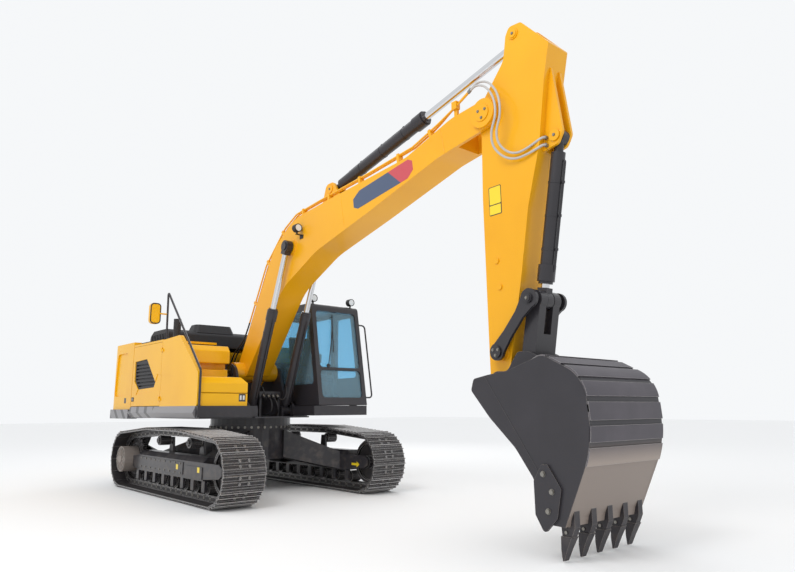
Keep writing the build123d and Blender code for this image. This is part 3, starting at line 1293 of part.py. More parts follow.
def bucket():
    """Digging bucket: rolled shell, two side plates with bolted cutters, ears, torsion box and lip."""
    line = FilletPolyline(*SHELL_LINE, radius=list(SHELL_BENDS))
    body = slab(trace(line, SHELL_PLATE), 0, 2 * (BUCKET_HALF - SIDE_PLATE) + 4)
    plate = rounded(
        [
            (5440, 1420), (5475, 1530), (5660, 1562), (5900, 1590), (6290, 1715), (6700, 1505), (6748, 955),
            (LIP[0] + 8, LIP[1] - 14), (LIP[0] - 140, LIP[1] - 10), (6230, 480), (6140, 660),
            (5960, 900), (5665, 1166),
        ],
        [40, 40, 100, 200, 140, 330, 900, 0, 20, 100, 200, 400, 600],
    )
    cutter = rounded(
        [(6160, 640), (6250, 780), (6310, 780), (6440, 590), (6390, 350), (6255, 215), (6165, 360)],
        [20, 20, 20, 30, 30, 30, 20],
    )
    d, g = BUCKET_PIN, BUCKET_LINK_PIN
    ear = rounded(
        [
            (d[0] - 130, d[1] + 20), (d[0] - 30, d[1] + 128), (d[0] + 130, d[1] + 120),
            (g[0] - 80, g[1] + 110),
            (g[0] + 70, g[1] + 95), (g[0] + 330, 1640), (6130, 1600), (5700, 1400),
            (d[0] + 110, 1340), (d[0] - 90, 1370),
        ],
        [90, 90, 90, 70, 80, 60, 0, 0, 60, 80],
    )
    for side in (-1, 1):
        body += slab(plate, side * (BUCKET_HALF - SIDE_PLATE / 2), SIDE_PLATE)
        body += slab(cutter, side * (BUCKET_HALF + 9), 20)
        body += slab(ear, side * (EAR_INNER + EAR_THICKNESS / 2), EAR_THICKNESS)
    lip = shape(
        (LIP[0] - 20, LIP[1] + 170), (LIP[0] + 60, LIP[1] + 150), (LIP[0] + 22, LIP[1] - 12),
        (LIP[0] - 30, LIP[1] - 6)
    )
    body += slab(lip, 0, 2 * (BUCKET_HALF - SIDE_PLATE) + 4)
    body += pin(BUCKET_PIN, 0, 45, 2 * (EAR_INNER + EAR_THICKNESS) + 20)
    return body + pin(BUCKET_LINK_PIN, 0, 40, 2 * (EAR_INNER + EAR_THICKNESS))


def wear_strips(shell):
    """Wide wear strips across the back of the shell."""
    length = FilletPolyline(*SHELL_LINE, radius=list(SHELL_BENDS)).length
    strips = []
    for middle in STRIPS:
        half = STRIP_WIDTH / length / 2
        inner = SHELL_PLATE / 2 - 4
        strips.append(shell_strip(middle - half, middle + half, inner, STRIP_THICKNESS + 4, 2 * BUCKET_HALF))
    return [strip - shell for strip in strips]


def tooth(y, lip):
    """Adapter straddling the lip, and the tapered tooth on its nose."""
    x, z = LIP
    adapter = slab(
        shape(
            (x - 75, z + 130), (x + 66, z + 130), (x + 66, z - 15), (x + 25, z - 110),
            (x - 60, z - 110), (x - 70, z),
        ),
        y,
        75,
    )
    sections = []
    for drop, middle, width, height in ((-92, -16, 100, 104), (-200, -48, 84, 58), (-292, -66, 66, 14)):
        sections.append(
            Plane((x + middle, y, z + drop), x_dir=(0, 1, 0), z_dir=(0, 0, -1)) * Rectangle(width, height)
        )
    return (adapter - lip) + loft(sections, ruled=True)


TOOTH_PLACES = (-500, -250, 0, 250, 500)
dipper = bucket()
save("bucket", dipper)
save("wear_strips", wear_strips(dipper))
save("bucket_teeth", [tooth(place, dipper) for place in TOOTH_PLACES])
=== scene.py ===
"""Looks of a 21-tonne crawler excavator: paint, steel, glass and the fittings the solids leave out."""

import math

import bpy
from mathutils import Matrix, Vector


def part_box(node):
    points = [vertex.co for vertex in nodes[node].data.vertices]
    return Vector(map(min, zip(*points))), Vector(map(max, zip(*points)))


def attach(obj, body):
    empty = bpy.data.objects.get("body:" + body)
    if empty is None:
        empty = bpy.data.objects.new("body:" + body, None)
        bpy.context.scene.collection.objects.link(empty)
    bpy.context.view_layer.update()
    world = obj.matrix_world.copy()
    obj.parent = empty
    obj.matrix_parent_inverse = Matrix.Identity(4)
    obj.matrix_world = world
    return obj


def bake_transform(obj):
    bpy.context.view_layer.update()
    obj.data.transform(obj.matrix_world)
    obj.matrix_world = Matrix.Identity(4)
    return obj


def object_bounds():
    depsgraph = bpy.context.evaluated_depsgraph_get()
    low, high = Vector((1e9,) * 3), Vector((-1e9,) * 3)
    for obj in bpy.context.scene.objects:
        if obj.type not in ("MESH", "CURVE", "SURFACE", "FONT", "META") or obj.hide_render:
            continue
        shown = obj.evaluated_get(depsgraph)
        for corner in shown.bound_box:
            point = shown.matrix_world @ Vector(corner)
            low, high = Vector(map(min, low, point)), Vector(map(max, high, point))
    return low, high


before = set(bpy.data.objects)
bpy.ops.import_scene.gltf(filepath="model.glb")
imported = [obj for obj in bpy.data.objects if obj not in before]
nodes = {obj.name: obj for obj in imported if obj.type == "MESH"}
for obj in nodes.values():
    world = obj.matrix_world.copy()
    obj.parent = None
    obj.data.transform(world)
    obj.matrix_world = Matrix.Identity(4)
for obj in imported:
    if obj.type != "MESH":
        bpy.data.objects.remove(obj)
cad_low, cad_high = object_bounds()

# ---------------------------------------------------------------- camera
# From ahead and to the right of the machine, 1.26 m over the ground,
# which is below the cab's windows, and tilted up towards the boom.
camera = bpy.data.objects.new("camera", bpy.data.cameras.new("camera"))
bpy.context.collection.objects.link(camera)
camera.data.sensor_width = 36.0
camera.data.lens = 29.53
camera.location = (9.801, -5.292, 1.256)
ahead = Vector((-0.7436, 0.6428, 0.1841))
CAMERA_ROLL = math.radians(0.27)
level = ahead.to_track_quat("-Z", "Y")
camera.rotation_mode = "QUATERNION"
camera.rotation_quaternion = Matrix.Rotation(CAMERA_ROLL, 3, ahead).to_quaternion() @ level
bpy.context.scene.camera = camera

# ---------------------------------------------------------------- studio
# An even white sky, one large soft key light from the machine's right front,
# and a weaker one from behind its left that draws the edges of the boom.
bpy.context.scene.view_settings.view_transform = "Standard"
sky = bpy.data.worlds.new("studio_sky")
bpy.context.scene.world = sky
sky.use_nodes = True
SKY_COLOUR, SKY_STRENGTH = (0.97, 0.985, 1.0, 1.0), 0.95
background = sky.node_tree.nodes["Background"]
background.inputs["Color"].default_value = SKY_COLOUR
background.inputs["Strength"].default_value = SKY_STRENGTH


def soft_light(name, place, target, size, watts):
    """Square area light at a place in metres, facing a target."""
    lamp = bpy.data.lights.new(name, "AREA")
    lamp.size, lamp.energy = size, watts
    holder = bpy.data.objects.new(name, lamp)
    bpy.context.collection.objects.link(holder)
    holder.location = place
    holder.rotation_mode = "QUATERNION"
    holder.rotation_quaternion = (Vector(target) - Vector(place)).to_track_quat("-Z", "Y")


soft_light("key_light", (6.0, -8.0, 10.5), (1.0, 0.0, 1.8), 4.0, 420.0)
soft_light("back_light", (-7.0, 8.0, 8.0), (0.0, 0.0, 1.5), 5.0, 150.0)

# ---------------------------------------------------------------- amber boom and stick
# Boom and stick: rolled steel plate welded into boxes, phosphated, primed and sprayed with two coats
# of gloss enamel, which leaves a fine orange peel and a clear reflective skin.


def linear(code):
    """Scene-linear colour of an sRGB hex code."""
    values = [int(code[i : i + 2], 16) / 255 for i in (1, 3, 5)]
    return [v / 12.92 if v <= 0.04045 else ((v + 0.055) / 1.055) ** 2.4 for v in values] + [1.0]


def add_node(tree, kind, inputs=None, **settings):
    """Adds a shader node: sockets given as inputs are linked, other inputs and its settings are set."""
    made = tree.nodes.new("ShaderNode" + kind)
    for name, value in settings.items():
        setattr(made, name, value)
    for name, value in (inputs or {}).items():
        if isinstance(value, bpy.types.NodeSocket):
            tree.links.new(value, made.inputs[name])
        else:
            made.inputs[name].default_value = value
    return made


def maths(tree, operation, *values):
    """Output socket of one sum on sockets or numbers."""
    return add_node(tree, "Math", dict(enumerate(values)), operation=operation).outputs[0]


def new_material(name):
    """An empty material with its tree, its principled shader and object coordinates in metres."""
    material = bpy.data.materials.new(name)
    material.use_nodes = True
    tree = material.node_tree
    shader = tree.nodes["Principled BSDF"]
    place = add_node(tree, "TexCoord").outputs["Object"]
    return material, tree, shader, place


def blend_colours(tree, share, first, second):
    """Output socket of the second colour laid over the first by a share."""
    mix = add_node(tree, "Mix", data_type="RGBA")
    for index, value in ((0, share), (6, first), (7, second)):
        if isinstance(value, bpy.types.NodeSocket):
            tree.links.new(value, mix.inputs[index])
        else:
            mix.inputs[index].default_value = value
    return mix.outputs[2]


def ramp(tree, value, low, high):
    """Output socket that runs from 0 to 1 while the value runs from low to high."""
    made = add_node(tree, "MapRange", {"Value": value, "From Min": low, "From Max": high})
    return made.outputs["Result"]


def noise(tree, place, feature_mm, detail=3.0):
    """Output socket of soft noise whose features are about this many millimetres wide."""
    made = add_node(tree, "TexNoise", {"Vector": place, "Scale": 1000.0 / feature_mm, "Detail": detail})
    return made.outputs["Fac"]


DRIFT_MM, DUST_PATCH_MM, PEEL_WIDTH_MM = 900.0, 90.0, 2.0
DUST_TOP = 1.3  # metres above the ground where the last dust settles
DUST_COLOUR, DUST_ROUGH = "#8b8177", 0.8


def enamel(name, colour, shade, rough, peel_mm=0.04, dust=0.2, coat=0.2):
    """Sprayed enamel: a slow drift of shade, fine orange peel and dust that settles near the ground."""
    material, tree, shader, place = new_material(name)
    drift = ramp(tree, noise(tree, place, DRIFT_MM), 0.35, 0.7)
    painted = blend_colours(tree, drift, linear(colour), linear(shade))
    height = add_node(tree, "SeparateXYZ", {"Vector": place}).outputs["Z"]
    low_down = ramp(tree, height, DUST_TOP, 0.0)
    patches = ramp(tree, noise(tree, place, DUST_PATCH_MM, 5.0), 0.45, 0.75)
    layer = maths(tree, "MULTIPLY", maths(tree, "MULTIPLY", low_down, patches), dust)
    tree.links.new(blend_colours(tree, layer, painted, linear(DUST_COLOUR)), shader.inputs["Base Color"])
    gloss = add_node(tree, "MapRange", {"Value": layer, "To Min": rough, "To Max": DUST_ROUGH})
    tree.links.new(gloss.outputs["Result"], shader.inputs["Roughness"])
    shader.inputs["Specular IOR Level"].default_value = 0.3
    shader.inputs["Coat Weight"].default_value = coat
    shader.inputs["Coat Roughness"].default_value = rough / 3
    peel = noise(tree, place, PEEL_WIDTH_MM)
    bump = add_node(tree, "Bump", {"Height": peel, "Strength": 0.2, "Distance": peel_mm / 100})
    tree.links.new(bump.outputs["Normal"], shader.inputs["Normal"])
    return material


def wear(material, *names):
    """Puts a material on these CAD nodes."""
    for name in names:
        for place in nodes[name].material_slots:
            place.material = material


amber = enamel("amber_gloss_enamel", "#f0ad12", "#eaa50e", 0.32, dust=0.1)
wear(amber, "boom", "stick", "boom_pipes")

# ---------------------------------------------------------------- yellow housings
# Doors, tank, boxes and counterweight: thinner pressed sheet and one casting,
# sprayed with a yellower batch of the same enamel.
yellow = enamel("yellow_gloss_enamel", "#f3b70c", "#edae0a", 0.32, dust=0.1)
wear(yellow, "right_door", "right_housing", "left_door_front", "left_door_rear", "left_housing")
wear(yellow, "fuel_tank", "tool_box", "tool_box_lid", "counterweight", "right_mirror")

# ---------------------------------------------------------------- charcoal frames
# Cab, main frame, undercarriage frames and cylinder barrels: welded plate and drawn tube under
# the same sprayed enamel in a satin charcoal. Dust shows more on it, above all down by the tracks.
charcoal = enamel("charcoal_satin_enamel", "#333135", "#2c2a2e", 0.36, dust=0.4, coat=0.3)
wear(charcoal, "cab_shell", "cab_door", "revolving_frame", "boom_cylinder_ears", "slewing_ring")
wear(charcoal, "car_body", "track_frame_right", "track_frame_left", "rocker_arms", "bucket_link")
wear(charcoal, "boom_cylinder_barrel", "stick_cylinder_barrel", "bucket_cylinder_barrel")
wear(charcoal, "boom_cylinder_eye", "stick_cylinder_eye", "bucket_cylinder_eye")
wear(charcoal, "handrails", "control_valve", "valve_hoses", "engine_block")

# ---------------------------------------------------------------- black mouldings
# Hood, air grille, lamps and exhaust shield: moulded glass-filled nylon and pressed sheet steel,
# both under a matt textured coat.


def moulding(name, colour, rough, grain_mm):
    """Matt black surface with a fine moulded grain."""
    material, tree, shader, place = new_material(name)
    shader.inputs["Base Color"].default_value = linear(colour)
    shader.inputs["Roughness"].default_value = rough
    grain = noise(tree, place, grain_mm)
    bump = add_node(tree, "Bump", {"Height": grain, "Strength": 0.3, "Distance": 0.0003})
    tree.links.new(bump.outputs["Normal"], shader.inputs["Normal"])
    return material


black = moulding("matt_black_moulding", "#242326", 0.55, 1.5)
wear(black, "hood", "right_grille", "work_lamps", "boom_lamp", "exhaust_pipe")

# ---------------------------------------------------------------- skirts
# Pressed steel skirts round the deck in sprayed silver-grey enamel, with slanted black warning
# marks masked and sprayed on towards the tail.
ALWAYS_AHEAD, MARK_GAP = 20.0, 0.66  # metres that keep the sum positive, bare share of each pitch


def striped_enamel(name, colour, mark, pitch, slant, front_end):
    """Silver enamel with slanted marks behind one place along the machine, measures in metres."""
    material, tree, shader, place = new_material(name)
    at = add_node(tree, "SeparateXYZ", {"Vector": place}).outputs
    slanted = maths(tree, "ADD", at["X"], maths(tree, "MULTIPLY", at["Z"], slant))
    step = maths(tree, "FRACT", maths(tree, "DIVIDE", maths(tree, "ADD", slanted, ALWAYS_AHEAD), pitch))
    bar = maths(tree, "GREATER_THAN", step, MARK_GAP)
    behind = maths(tree, "LESS_THAN", at["X"], front_end)
    colours = blend_colours(tree, maths(tree, "MULTIPLY", bar, behind), linear(colour), linear(mark))
    tree.links.new(colours, shader.inputs["Base Color"])
    shader.inputs["Roughness"].default_value = 0.35
    shader.inputs["Coat Weight"].default_value = 0.4
    return material


skirt_enamel = striped_enamel("silver_skirt_enamel", "#79777a", "#2b2a2d", 0.36, 1.1, -0.6)
wear(skirt_enamel, "deck_skirts")

# ---------------------------------------------------------------- cast drive covers
# Final-drive covers: cast iron, shot-blasted and sprayed thinly in warm grey,
# so that the casting's grain still shows.
cast_grey = enamel("warm_grey_cast_iron", "#8f8680", "#7f7670", 0.5, peel_mm=0.3, dust=0.5, coat=0.1)
wear(cast_grey, "final_drives")

# ---------------------------------------------------------------- track steel
# Rolled and hardened shoe profiles on forged links, dipped in thin black paint that the ground
# soon polishes off: bright on the grouser edges, dull and brown with dust in the hollows.


RUB_MM, RUB_PATCH_MM, PIT_MM = 30.0, 25.0, 6.0
FLOOR_REFLECTION_HIGH, FLOOR_REFLECTION_LOW = 0.98, 0.80  # metres above the ground over which the painted reflection of the floor fades in on the shell
SHELL_INSIDE = 0.586  # metres from the centre plane to the side plates


def worn_steel(name, paint, dusty, bare, edge_mm, spread, grain_mm=60.0, painted_floor_reflection=None):
    """Thin paint rubbed bare along the edges, with dusty hollows; a last colour, if given, is a painted
    reflection of the floor low on the shell.
    """
    material, tree, shader, place = new_material(name)
    rounded = add_node(tree, "Bevel", {"Radius": edge_mm / 1000.0}, samples=4).outputs["Normal"]
    flat = add_node(tree, "NewGeometry").outputs["Normal"]
    dot = add_node(tree, "VectorMath", {0: rounded, 1: flat}, operation="DOT_PRODUCT")
    facing = dot.outputs["Value"]
    broken = ramp(tree, noise(tree, place, RUB_MM, 5.0), 0.15, 0.45)
    edge = maths(tree, "MULTIPLY", ramp(tree, facing, 0.995, 0.93), broken)
    patch = ramp(tree, noise(tree, place, RUB_PATCH_MM, 6.0), 0.62 - spread, 0.78 - spread)
    rub = add_node(tree, "Math", {0: edge, 1: patch}, operation="MAXIMUM", use_clamp=True).outputs[0]
    dust = ramp(tree, noise(tree, place, grain_mm, 6.0), 0.4, 0.95)
    ground = blend_colours(tree, dust, linear(paint), linear(dusty))
    # a lighter colour painted on the shell's lower part, between its side plates, as a reflection of the
    # floor
    if painted_floor_reflection:
        at = add_node(tree, "SeparateXYZ", {"Vector": place}).outputs
        low_down = ramp(tree, at["Z"], FLOOR_REFLECTION_HIGH, FLOOR_REFLECTION_LOW)
        between = maths(tree, "LESS_THAN", maths(tree, "ABSOLUTE", at["Y"]), SHELL_INSIDE)
        ground = blend_colours(tree, maths(tree, "MULTIPLY", low_down, between), ground, linear(painted_floor_reflection))
    tree.links.new(blend_colours(tree, rub, ground, linear(bare)), shader.inputs["Base Color"])
    tree.links.new(maths(tree, "MULTIPLY", rub, 0.9), shader.inputs["Metallic"])
    shine = add_node(tree, "MapRange", {"Value": rub, "To Min": 0.5, "To Max": 0.33})
    tree.links.new(shine.outputs["Result"], shader.inputs["Roughness"])
    pits = noise(tree, place, PIT_MM, 5.0)
    bump = add_node(tree, "Bump", {"Height": pits, "Strength": 0.4, "Distance": 0.0008})
    tree.links.new(bump.outputs["Normal"], shader.inputs["Normal"])
    return material


track_steel = worn_steel("worn_track_steel", "#272528", "#48423e", "#c4c2c1", 16.0, -0.12)
wear(track_steel, "track_right", "track_left", "sprockets", "idlers")
wear(track_steel, "bottom_rollers", "carrier_rollers")

# ---------------------------------------------------------------- bucket steel
# Welded bucket of abrasion-resistant plate under a single charcoal coat, used lightly so far: the coat
# is thin along the plates' corners, and the lower part of the shell is painted a warm grey as a painted
# reflection of the floor.
bucket_steel = worn_steel(
    "thin_coated_bucket_plate", "#2b292e", "#343137", "#8d8680", 4.0, -0.3, 400.0, "#8b7f77"
)
wear(bucket_steel, "bucket")
tooth_steel = worn_steel("cast_tooth_steel", "#2f2c31", "#443e3e", "#8d8680", 5.0, -0.1, 80.0)
wear(tooth_steel, "bucket_teeth")

# ---------------------------------------------------------------- wear strips
# Strips of rolled hard manganese steel, welded on the shell under the same coat,
# with a warm grey painted low down as a painted reflection of the floor.
strip_steel = worn_steel(
    "manganese_strip_steel", "#464249", "#565058", "#b9b5b2", 5.0, -0.15, 300.0, "#9c8f86"
)
wear(strip_steel, "wear_strips")

# ---------------------------------------------------------------- chromed rods
# Piston rods of the three sets of cylinders: ground steel bar, plated with hard chrome
# and polished, with a faint unevenness left in the gloss.


def hard_chrome(name):
    """Ground and polished chrome plating."""
    material, tree, shader, place = new_material(name)
    shader.inputs["Base Color"].default_value = linear("#d5d6d8")
    shader.inputs["Metallic"].default_value = 1.0
    streaks = noise(tree, place, 40.0)
    gloss = add_node(tree, "MapRange", {"Value": streaks, "To Min": 0.07, "To Max": 0.16})
    tree.links.new(gloss.outputs["Result"], shader.inputs["Roughness"])
    return material


chrome = hard_chrome("hard_chrome_plating")
wear(chrome, "boom_cylinder_rod", "stick_cylinder_rod", "bucket_cylinder_rod")

# ---------------------------------------------------------------- cab glazing
# Panes of float glass with a light green-blue body tint against the sun,
# cut, toughened and bonded into the cab's openings.


def float_glass(name, tint, reflecting):
    """Tinted pane that light passes straight through, with a share that reflects and shades."""
    material, tree, shader, _ = new_material(name)
    shader.inputs["Base Color"].default_value = linear(tint)
    shader.inputs["Roughness"].default_value = 0.02
    shader.inputs["Coat Weight"].default_value = 1.0
    clear = add_node(tree, "BsdfTransparent", {"Color": linear(tint)}).outputs[0]
    mixed = add_node(tree, "MixShader", {0: reflecting, 1: clear, 2: shader.outputs[0]}).outputs[0]
    tree.links.new(mixed, tree.nodes["Material Output"].inputs["Surface"])
    return material


wear(float_glass("tinted_float_glass", "#cfeefb", 0.16), "cab_glass", "cab_door_glass")

# ---------------------------------------------------------------- seat
# Seat and consoles: a woven polyester cover, sewn and drawn over moulded foam,
# with a thread about every 2 mm.
WAVE_UNIT_MM, THREAD_MM = 314.16, 1.904  # wave texture's own period at scale 1, thread spacing
WEAVE_SHADOW = "#1c1c1f"


def woven_cloth(name, colour):
    """Woven cover with fine regular threads."""
    material, tree, shader, place = new_material(name)
    wave = {"Vector": place, "Scale": WAVE_UNIT_MM / THREAD_MM, "Distortion": 0.5}
    weave = add_node(tree, "TexWave", wave).outputs["Fac"]
    threads = blend_colours(tree, weave, linear(colour), linear(WEAVE_SHADOW))
    tree.links.new(threads, shader.inputs["Base Color"])
    shader.inputs["Roughness"].default_value = 0.9
    return material


wear(woven_cloth("woven_seat_cover", "#2c2c30"), "operator_station")

# ---------------------------------------------------------------- floor
# Painted studio floor, matt and almost white, so that the machine's shadow stays soft.
# It reaches 60 m each way, far past the machine.
floor_mesh = bpy.data.meshes.new("studio_floor")
FLOOR_HALF = 60.0
corners = [(x * FLOOR_HALF, y * FLOOR_HALF, cad_low.z) for x, y in ((-1, -1), (1, -1), (1, 1), (-1, 1))]
floor_mesh.from_pydata(corners, [], [(0, 1, 2, 3)])
floor = bpy.data.objects.new("studio_floor", floor_mesh)
bpy.context.collection.objects.link(floor)
floor_paint, _, floor_shader, _ = new_material("matt_floor_paint")
floor_shader.inputs["Base Color"].default_value = linear("#f6f6f6")
floor_shader.inputs["Roughness"].default_value = 0.85
floor_mesh.materials.append(floor_paint)

# ---------------------------------------------------------------- boom band
# A plain slate band with a red end on each side of the boom: vinyl film, cut and pressed on.
# It is drawn 1.5 mm thick, so that it stays clear of the enamel under it.


def prism(outline, shift):
    """Points and faces of a flat outline carried along a shift."""
    base = [Vector(point) for point in outline]
    count = len(base)
    points = base + [point + Vector(shift) for point in base]
    faces = [tuple(range(count))[::-1], tuple(range(count, 2 * count))]
    faces += [(i, (i + 1) % count, count + (i + 1) % count, count + i) for i in range(count)]
    return points, faces


def merged(parts):
    """Several lots of points and faces as one."""
    points, faces = [], []
    for more_points, more_faces in parts:
        start = len(points)
        points += more_points
        faces += [tuple(start + index for index in face) for face in more_faces]
    return points, faces


def add_piece(name, parts, material, body):
    """A mesh piece from lots of points and faces, in one material, riding on a body."""
    mesh = bpy.data.meshes.new(name)
    points, faces = merged(parts)
    mesh.from_pydata(points, [], faces)
    mesh.materials.append(material)
    piece = bpy.data.objects.new(name, mesh)
    bpy.context.collection.objects.link(piece)
    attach(piece, body)


def plain(name, colour, rough, metal=0.0, coat=0.0):
    """A plain finish of one colour."""
    material, _, shader, _ = new_material(name)
    shader.inputs["Base Color"].default_value = linear(colour)
    shader.inputs["Roughness"].default_value = rough
    shader.inputs["Metallic"].default_value = metal
    shader.inputs["Coat Weight"].default_value = coat
    return material


def rounded_outline(points, radius, steps=5):
    """A flat outline in two coordinates with each corner turned by a small arc."""
    made = []
    for index, corner in enumerate(points):
        here = Vector(corner)
        before = Vector(points[index - 1]) - here
        after = Vector(points[(index + 1) % len(points)]) - here
        half = before.angle(after) / 2
        reach = radius / math.tan(half)
        inward = (before.normalized() + after.normalized()).normalized()
        centre = here + inward * radius / math.sin(half)
        first = here + before.normalized() * reach - centre
        last = here + after.normalized() * reach - centre
        for step in range(steps + 1):
            share = step / steps
            spoke = (first * (1 - share) + last * share).normalized() * radius
            made.append(centre + spoke)
    return made


FILM = 0.0015
BAND_START, BAND_END = Vector((3.02, 3.985)), Vector((4.215, 4.160))  # middle line, x and z
BAND_HALF = 0.12
BOOM_SIDE = 0.210
slate_film = plain("slate_vinyl_film", "#3f4f6c", 0.35, coat=0.3)
red_film = plain("red_vinyl_film", "#c4434d", 0.35, coat=0.3)
run = BAND_END - BAND_START
rise = Vector((-run.y, run.x)).normalized() * BAND_HALF
# outlines as shares of the band's length and half height; the two colours meet on a slanted line
SLATE = ((0.0, -0.6), (0.07, -1), (0.80, -1), (0.62, 1), (0.12, 1), (0.0, 0.4))
RED = ((0.80, -1), (0.91, -1), (1.0, -0.4), (1.0, 0.6), (0.94, 1), (0.62, 1))
SIDES = ((-1, "right"), (1, "left"))
for side, tag in SIDES:
    for outline, film, colour in ((SLATE, slate_film, "slate"), (RED, red_film, "red")):
        flat = [BAND_START + run * share + rise * up for share, up in outline]
        corners = [(point.x, side * BOOM_SIDE, point.y) for point in flat]
        add_piece(f"boom_band_{colour}_{tag}", [prism(corners, (0, side * FILM, 0))], film, "boom_arm")

# ---------------------------------------------------------------- blank plates
# Plates of 1.5 mm aluminium, punched and enamelled: yellow ones on the stick's sides, two on the
# right track frame, and dark ones on the counterweight and the tool box. All of them are blank.
sign_yellow = plain("yellow_plate_enamel", "#f2d21f", 0.35, coat=0.3)
sign_dark = plain("dark_plate_enamel", "#2a292b", 0.4, coat=0.3)
sign_pale = plain("pale_plate_enamel", "#d9d8d4", 0.4, coat=0.3)


SQUARE = ((-1, -1), (1, -1), (1, 1), (-1, 1))
STICK_SIDE, TRACK_FRAME_SIDE, HOUSE_SIDE = 0.165, 1.350, 1.370
STICK_PLATE = (5.462, 3.417)
STICK_TILT = 0.02


def side_plate(name, middle, size, y, side, material, body, tilt=0.0, thick=FILM):
    """Flat plate on a side face: middle as x and z, size as length and height."""
    turn = Matrix.Rotation(tilt, 2)
    half = Vector(size) / 2
    flat = [Vector(middle) + turn @ Vector((half.x * i, half.y * k)) for i, k in SQUARE]
    outline = [(x, y, z) for x, z in rounded_outline(flat, min(size) * 0.08, 3)]
    add_piece(name, [prism(outline, (0, side * thick, 0))], material, body)


def front_plate(x, low, high, thick):
    """Points and faces of a plate on a front face, between two corners given as y and z."""
    corners = ((low[0], low[1]), (high[0], low[1]), (high[0], high[1]), (low[0], high[1]))
    return prism([(x, y, z) for y, z in corners], (thick, 0, 0))


for side, tag in SIDES:
    y = side * STICK_SIDE
    name = f"stick_plate_edge_{tag}"
    side_plate(name, STICK_PLATE, (0.168, 0.318), y, side, sign_dark, "stick_arm", STICK_TILT)
    for place, height, up in (("upper", 0.19, 0.056), ("lower", 0.10, -0.1)):
        middle = (STICK_PLATE[0], STICK_PLATE[1] + up)
        name, y_over = f"stick_plate_{place}_{tag}", y + side * FILM
        side_plate(name, middle, (0.152, height), y_over, side, sign_yellow, "stick_arm", STICK_TILT)
for number, x in enumerate((0.36, 1.08)):
    name, middle, size = f"track_frame_plate_{number}", (x, 0.44), (0.07, 0.07)
    side_plate(name, middle, size, -TRACK_FRAME_SIDE, -1, sign_yellow, "undercarriage")
side_plate("counterweight_plate", (-1.967, 1.404), (0.09, 0.09), -HOUSE_SIDE, -1, sign_dark, "upper")
box_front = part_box("tool_box")[1].x
plate = front_plate(box_front, (-0.722, 1.362), (-0.615, 1.472), FILM)
add_piece("tool_box_plate", [plate], sign_dark, "upper")
fields = [front_plate(box_front + FILM, (y, 1.385), (y + 0.03, 1.45), FILM / 2) for y in (-0.708, -0.66)]
add_piece("tool_box_plate_fields", fields, sign_pale, "upper")

# ---------------------------------------------------------------- pin caps and bolts
# Steel caps, turned from bar and painted like what they sit on, that keep the pins in;
# hexagon-headed bolts, zinc-plated, hold each one.


def circle(centre, axis, radius, sides, turn=0.0):
    """Corners of a regular outline round a centre, square to an axis."""
    axis = Vector(axis).normalized()
    first = axis.orthogonal().normalized()
    second = axis.cross(first)
    angles = [turn + 2 * math.pi * step / sides for step in range(sides)]
    return [Vector(centre) + radius * (math.cos(a) * first + math.sin(a) * second) for a in angles]


def disc(centre, axis, radius, thick, sides=24):
    """Points and faces of a round disc that stands on its centre along the axis."""
    return prism(circle(centre, axis, radius, sides), Vector(axis).normalized() * thick)


def hex_head(centre, axis, across, thick):
    """Bolt head with its washer."""
    washer = disc(centre, axis, across * 0.72, thick * 0.2, 12)
    return merged([washer, disc(centre, axis, across / 2 / math.cos(math.pi / 6), thick, 6)])


zinc = plain("zinc_plated_bolts", "#8d8a84", 0.4, metal=0.85)
CAP_THICK, FIRST_BOLT, BOLT_CIRCLE = 0.010, 0.5, 0.6  # metres, radians, share of the cap's radius
# x, z, distance of the face from the centre plane, radius of the cap, bolts, finish, body
PIN_CAPS = {
    "stick_pin": (5.385, 4.415, 0.250, 0.095, 3, amber, "boom_arm"),
    "stick_cylinder_base": (2.290, 4.400, 0.091, 0.068, 1, amber, "boom_arm"),
    "stick_cylinder_eye": (5.790, 5.200, 0.178, 0.046, 1, amber, "stick_arm"),
    "bucket_cylinder_base": (6.196, 3.932, 0.097, 0.060, 1, amber, "stick_arm"),
    "rocker_pin": (5.485, 1.808, 0.258, 0.062, 3, charcoal, "stick_arm"),
    "link_pin": (5.906, 2.301, 0.270, 0.038, 1, charcoal, "rocker"),
    "bucket_pin": (5.450, 1.490, 0.220, 0.064, 3, charcoal, "bucket_body"),
    "boom_foot": (0.020, 1.850, 0.437, 0.078, 3, charcoal, "upper"),
}
for name, (x, z, face, radius, bolts, finish, body) in PIN_CAPS.items():
    caps, heads = [], []
    for side in (-1, 1):
        caps.append(disc((x, side * face, z), (0, side, 0), radius, CAP_THICK, 32))
        for bolt in range(bolts):
            turn = 2 * math.pi * bolt / bolts + FIRST_BOLT
            out = BOLT_CIRCLE * radius if bolts > 1 else 0.0
            place = (x + out * math.cos(turn), side * (face + CAP_THICK), z + out * math.sin(turn))
            heads.append(hex_head(place, (0, side, 0), 0.024, 0.010))
    add_piece(f"{name}_caps", caps, finish, body)
    add_piece(f"{name}_bolts", heads, zinc, body)

plugs = []
for side in (-1, 1):
    for x, z in ((5.457, 2.76), (5.488, 2.48)):
        plugs.append(disc((x, side * STICK_SIDE, z), (0, side, 0), 0.030, 0.014, 20))
add_piece("stick_plugs", plugs, amber, "stick_arm")

